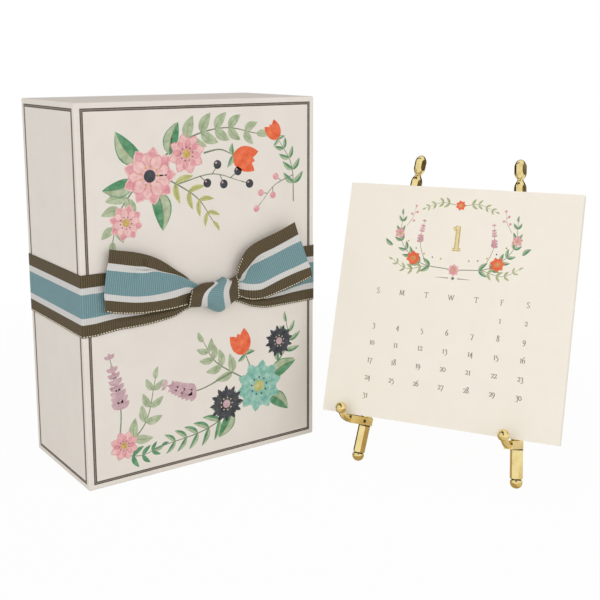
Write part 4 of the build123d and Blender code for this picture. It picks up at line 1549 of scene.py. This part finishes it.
@dataclass
class Studio:
    """White ground, glowing flags and floor mats that only the brass mirrors, as painted reflections and painted
    floor shade, soft lamps and the camera at the photograph's angle.
    """

    camera_place: tuple[float, float, float] = (-264.9, -500.4, 226.1)
    yaw: float = 35.285
    pitch: float = 10.487
    lens: float = 59.27
    sensor: float = 36.0
    # The lens is shifted down a little, as the photograph's nearly upright box edges ask for
    lens_shift: float = -0.1
    ground_size: float = 6.0
    ground_colour: str = "#F4F4F4"
    # How much of the ground's white is its own glow by the object, and between which radii that grows to all of it
    ground_glow: float = 0.955
    shadow_reach: tuple[float, float] = (0.22, 0.5)
    ambient: float = 0.61
    # Each lamp: place and target in metres, size in metres, power in watts
    lamps: tuple[tuple[Points, float, float], ...] = (
        (((0.25, -1.5, 0.6), (0.06, -0.06, 0.1)), 1.6, 7.8),
        (((-1.3, -0.7, 0.55), (0.06, -0.06, 0.1)), 1.6, 8.4),
    )
    # Backdrop flags and floor mats that only shiny metal sees, about the easel, glowing in their colour: painted dark
    # reflections in the brass, and painted floor shade under it; colour, sweep in degrees, then the reach and height
    # of foot and head in metres
    flag_middle: tuple[float, float] = (0.105, -0.11)
    flag_steps: int = 13
    flag_shapes: tuple[tuple[str, Points], ...] = (
        # Flags and a floor strip whose glow paints dark reflections in the brass
        ("#43381F", ((-20.0, 100.0), (0.45, 0.0), (0.45, 0.5))),
        ("#54452A", ((311.0, 330.0), (0.42, 0.13), (0.42, 0.4))),
        ("#4A3C1E", ((100.0, 240.0), (0.3, 0.4), (0.02, 0.45))),
        ("#4A3C1E", ((213.0, 238.0), (0.38, 0.16), (0.3, 0.4))),
        ("#43381F", ((60.0, 140.0), (0.05, 0.001), (0.2, 0.001))),
        # Rings on the floor about the easel, lightening outwards, whose glow paints the reflected shade of the floor
        # under it
        ("#BBA785", ((0.0, 360.0), (0.001, 0.0005), (0.06, 0.0005))),
        ("#E2D8C4", ((0.0, 360.0), (0.06, 0.0005), (0.11, 0.0005))),
        ("#F0EADF", ((0.0, 360.0), (0.11, 0.0005), (0.18, 0.0005))),
    )

    def stand(self, name: str, verts: Points, faces: Sequence[Sequence[int]], finish: str) -> bpy.types.Object:
        """Makes a piece of the stage.

        Args:
            name: The piece's name.
            verts: Corners in metres.
            faces: Corner numbers of each face.
            finish: The name of its material, which gets no nodes yet.

        Returns:
            The piece.
        """
        mesh = bpy.data.meshes.new(name)
        mesh.from_pydata(verts, [], faces)
        mesh.materials.append(bpy.data.materials.new(finish))
        mesh.materials[0].use_nodes = True
        mesh.materials[0].node_tree.nodes.clear()
        piece = link(name, mesh)
        return piece

    def seen(self, tree: bpy.types.NodeTree) -> bpy.types.NodeSocket:
        """Tells the rays that show the background from those that light things.

        Args:
            tree: The node tree that asks.

        Returns:
            A socket that is 1 for rays from the camera, off shiny things or through clear ones, else 0.
        """
        path = add(tree, "LightPath")
        seen = path.outputs["Is Camera Ray"]
        for kind in ("Is Glossy Ray", "Is Transmission Ray"):
            seen = add(tree, "Math", {"operation": "MAXIMUM"}, {0: seen, 1: path.outputs[kind]}).outputs[0]
        return seen

    def ground(self) -> None:
        """Lays a white paper sweep that keeps the object's soft shadow."""
        half = self.ground_size / 2
        verts = [(-half, -half, 0), (half, -half, 0), (half, half, 0), (-half, half, 0)]
        ground = self.stand("studio_ground", verts, [(0, 1, 2, 3)], "white_paper_sweep")
        tree = ground.data.materials[0].node_tree
        matt = add(tree, "BsdfDiffuse", {"Color": linear(self.ground_colour)})
        glow = add(tree, "Emission", {"Color": (1, 1, 1, 1), "Strength": 1.0})
        place = add(tree, "TexCoord").outputs["Object"]
        far = add(tree, "VectorMath", {"operation": "LENGTH"}, {0: place})
        fade = add(tree, "MapRange", {"interpolation_type": "SMOOTHSTEP", "From Min": self.shadow_reach[0],
                                      "From Max": self.shadow_reach[1], "To Min": self.ground_glow, "To Max": 1.0},
                   {"Value": far.outputs["Value"]})
        share = add(tree, "Math", {"operation": "MULTIPLY"}, {0: self.seen(tree), 1: fade.outputs[0]})
        mixed = add(tree, "MixShader", {}, {0: share.outputs[0], 1: matt.outputs[0], 2: glow.outputs[0]})
        add(tree, "OutputMaterial", {}, {0: mixed.outputs[0]})

    def sky(self) -> None:
        """Gives even soft light, and white where the camera or a shiny surface looks past the ground."""
        world = bpy.data.worlds.new("studio_white")
        bpy.context.scene.world = world
        world.use_nodes = True
        tree = world.node_tree
        tree.nodes.clear()
        level = add(tree, "MapRange", {"To Min": self.ambient, "To Max": 1.0}, {"Value": self.seen(tree)})
        back = add(tree, "Background", {"Color": (1, 1, 1, 1)}, {"Strength": level.outputs[0]})
        add(tree, "OutputWorld", {}, {0: back.outputs[0]})

    def flags(self) -> None:
        """Sets glowing flags and floor mats about the easel, which only reflections see, so that its facets and edges
        mirror dark as well as white: painted dark reflections and painted floor shade.
        """
        n = self.flag_steps
        faces = [(i, i + 1, n + i + 1, n + i) for i in range(n - 1)]
        for number, (colour, (sweep, *rims)) in enumerate(self.flag_shapes):
            turn = np.radians(np.linspace(*sweep, n))
            ring = np.stack([np.cos(turn), np.sin(turn)], 1)
            verts = [(*(spot * reach + self.flag_middle), z) for reach, z in rims for spot in ring]
            flag = self.stand(f"dark_flag_{number}", verts, faces, f"painted_reflection_glow_{number}")
            flag.visible_camera = flag.visible_diffuse = flag.visible_shadow = flag.visible_transmission = False
            tree = flag.data.materials[0].node_tree
            # Painted reflection: each flag or mat glows in its own colour, and only reflections see it
            glow = add(tree, "Emission", {"Color": linear(colour)})
            add(tree, "OutputMaterial", {}, {0: glow.outputs[0]})

    def light(self) -> None:
        """Hangs the soft lamps, which shiny metal doesn't mirror, as it has the white sky to mirror."""
        for number, ((place, target), size, power) in enumerate(self.lamps):
            lamp = bpy.data.lights.new(f"soft_lamp_{number}", "AREA")
            lamp.size = size
            lamp.energy = power
            holder = link(lamp.name, lamp)
            holder.location = place
            holder.rotation_euler = (Vector(target) - Vector(place)).to_track_quat("-Z", "Y").to_euler()
            holder.visible_glossy = False

    def camera(self) -> None:
        """Sets the camera where the photograph was taken from."""
        camera = bpy.data.cameras.new("photo_camera")
        camera.lens = self.lens
        camera.sensor_width = self.sensor
        camera.shift_y = self.lens_shift
        holder = link("photo_camera", camera)
        holder.location = Vector(self.camera_place) * MM
        holder.rotation_euler = (math.radians(90 - self.pitch), 0, -math.radians(self.yaw))
        bpy.context.scene.camera = holder

    def build(self) -> None:
        """Sets up the whole studio."""
        bpy.context.scene.view_settings.view_transform = "Standard"
        self.ground()
        self.sky()
        self.flags()
        self.light()
        self.camera()


def main() -> None:
    """Builds every sub-assembly in order."""
    logging.basicConfig(level=logging.INFO, format="%(name)s %(message)s")
    Studio().build()
    KeepsakeBox().build()
    Ribbon().build()
    MonthCards().build()
    Easel().build()


if __name__ == "__main__":
    main()
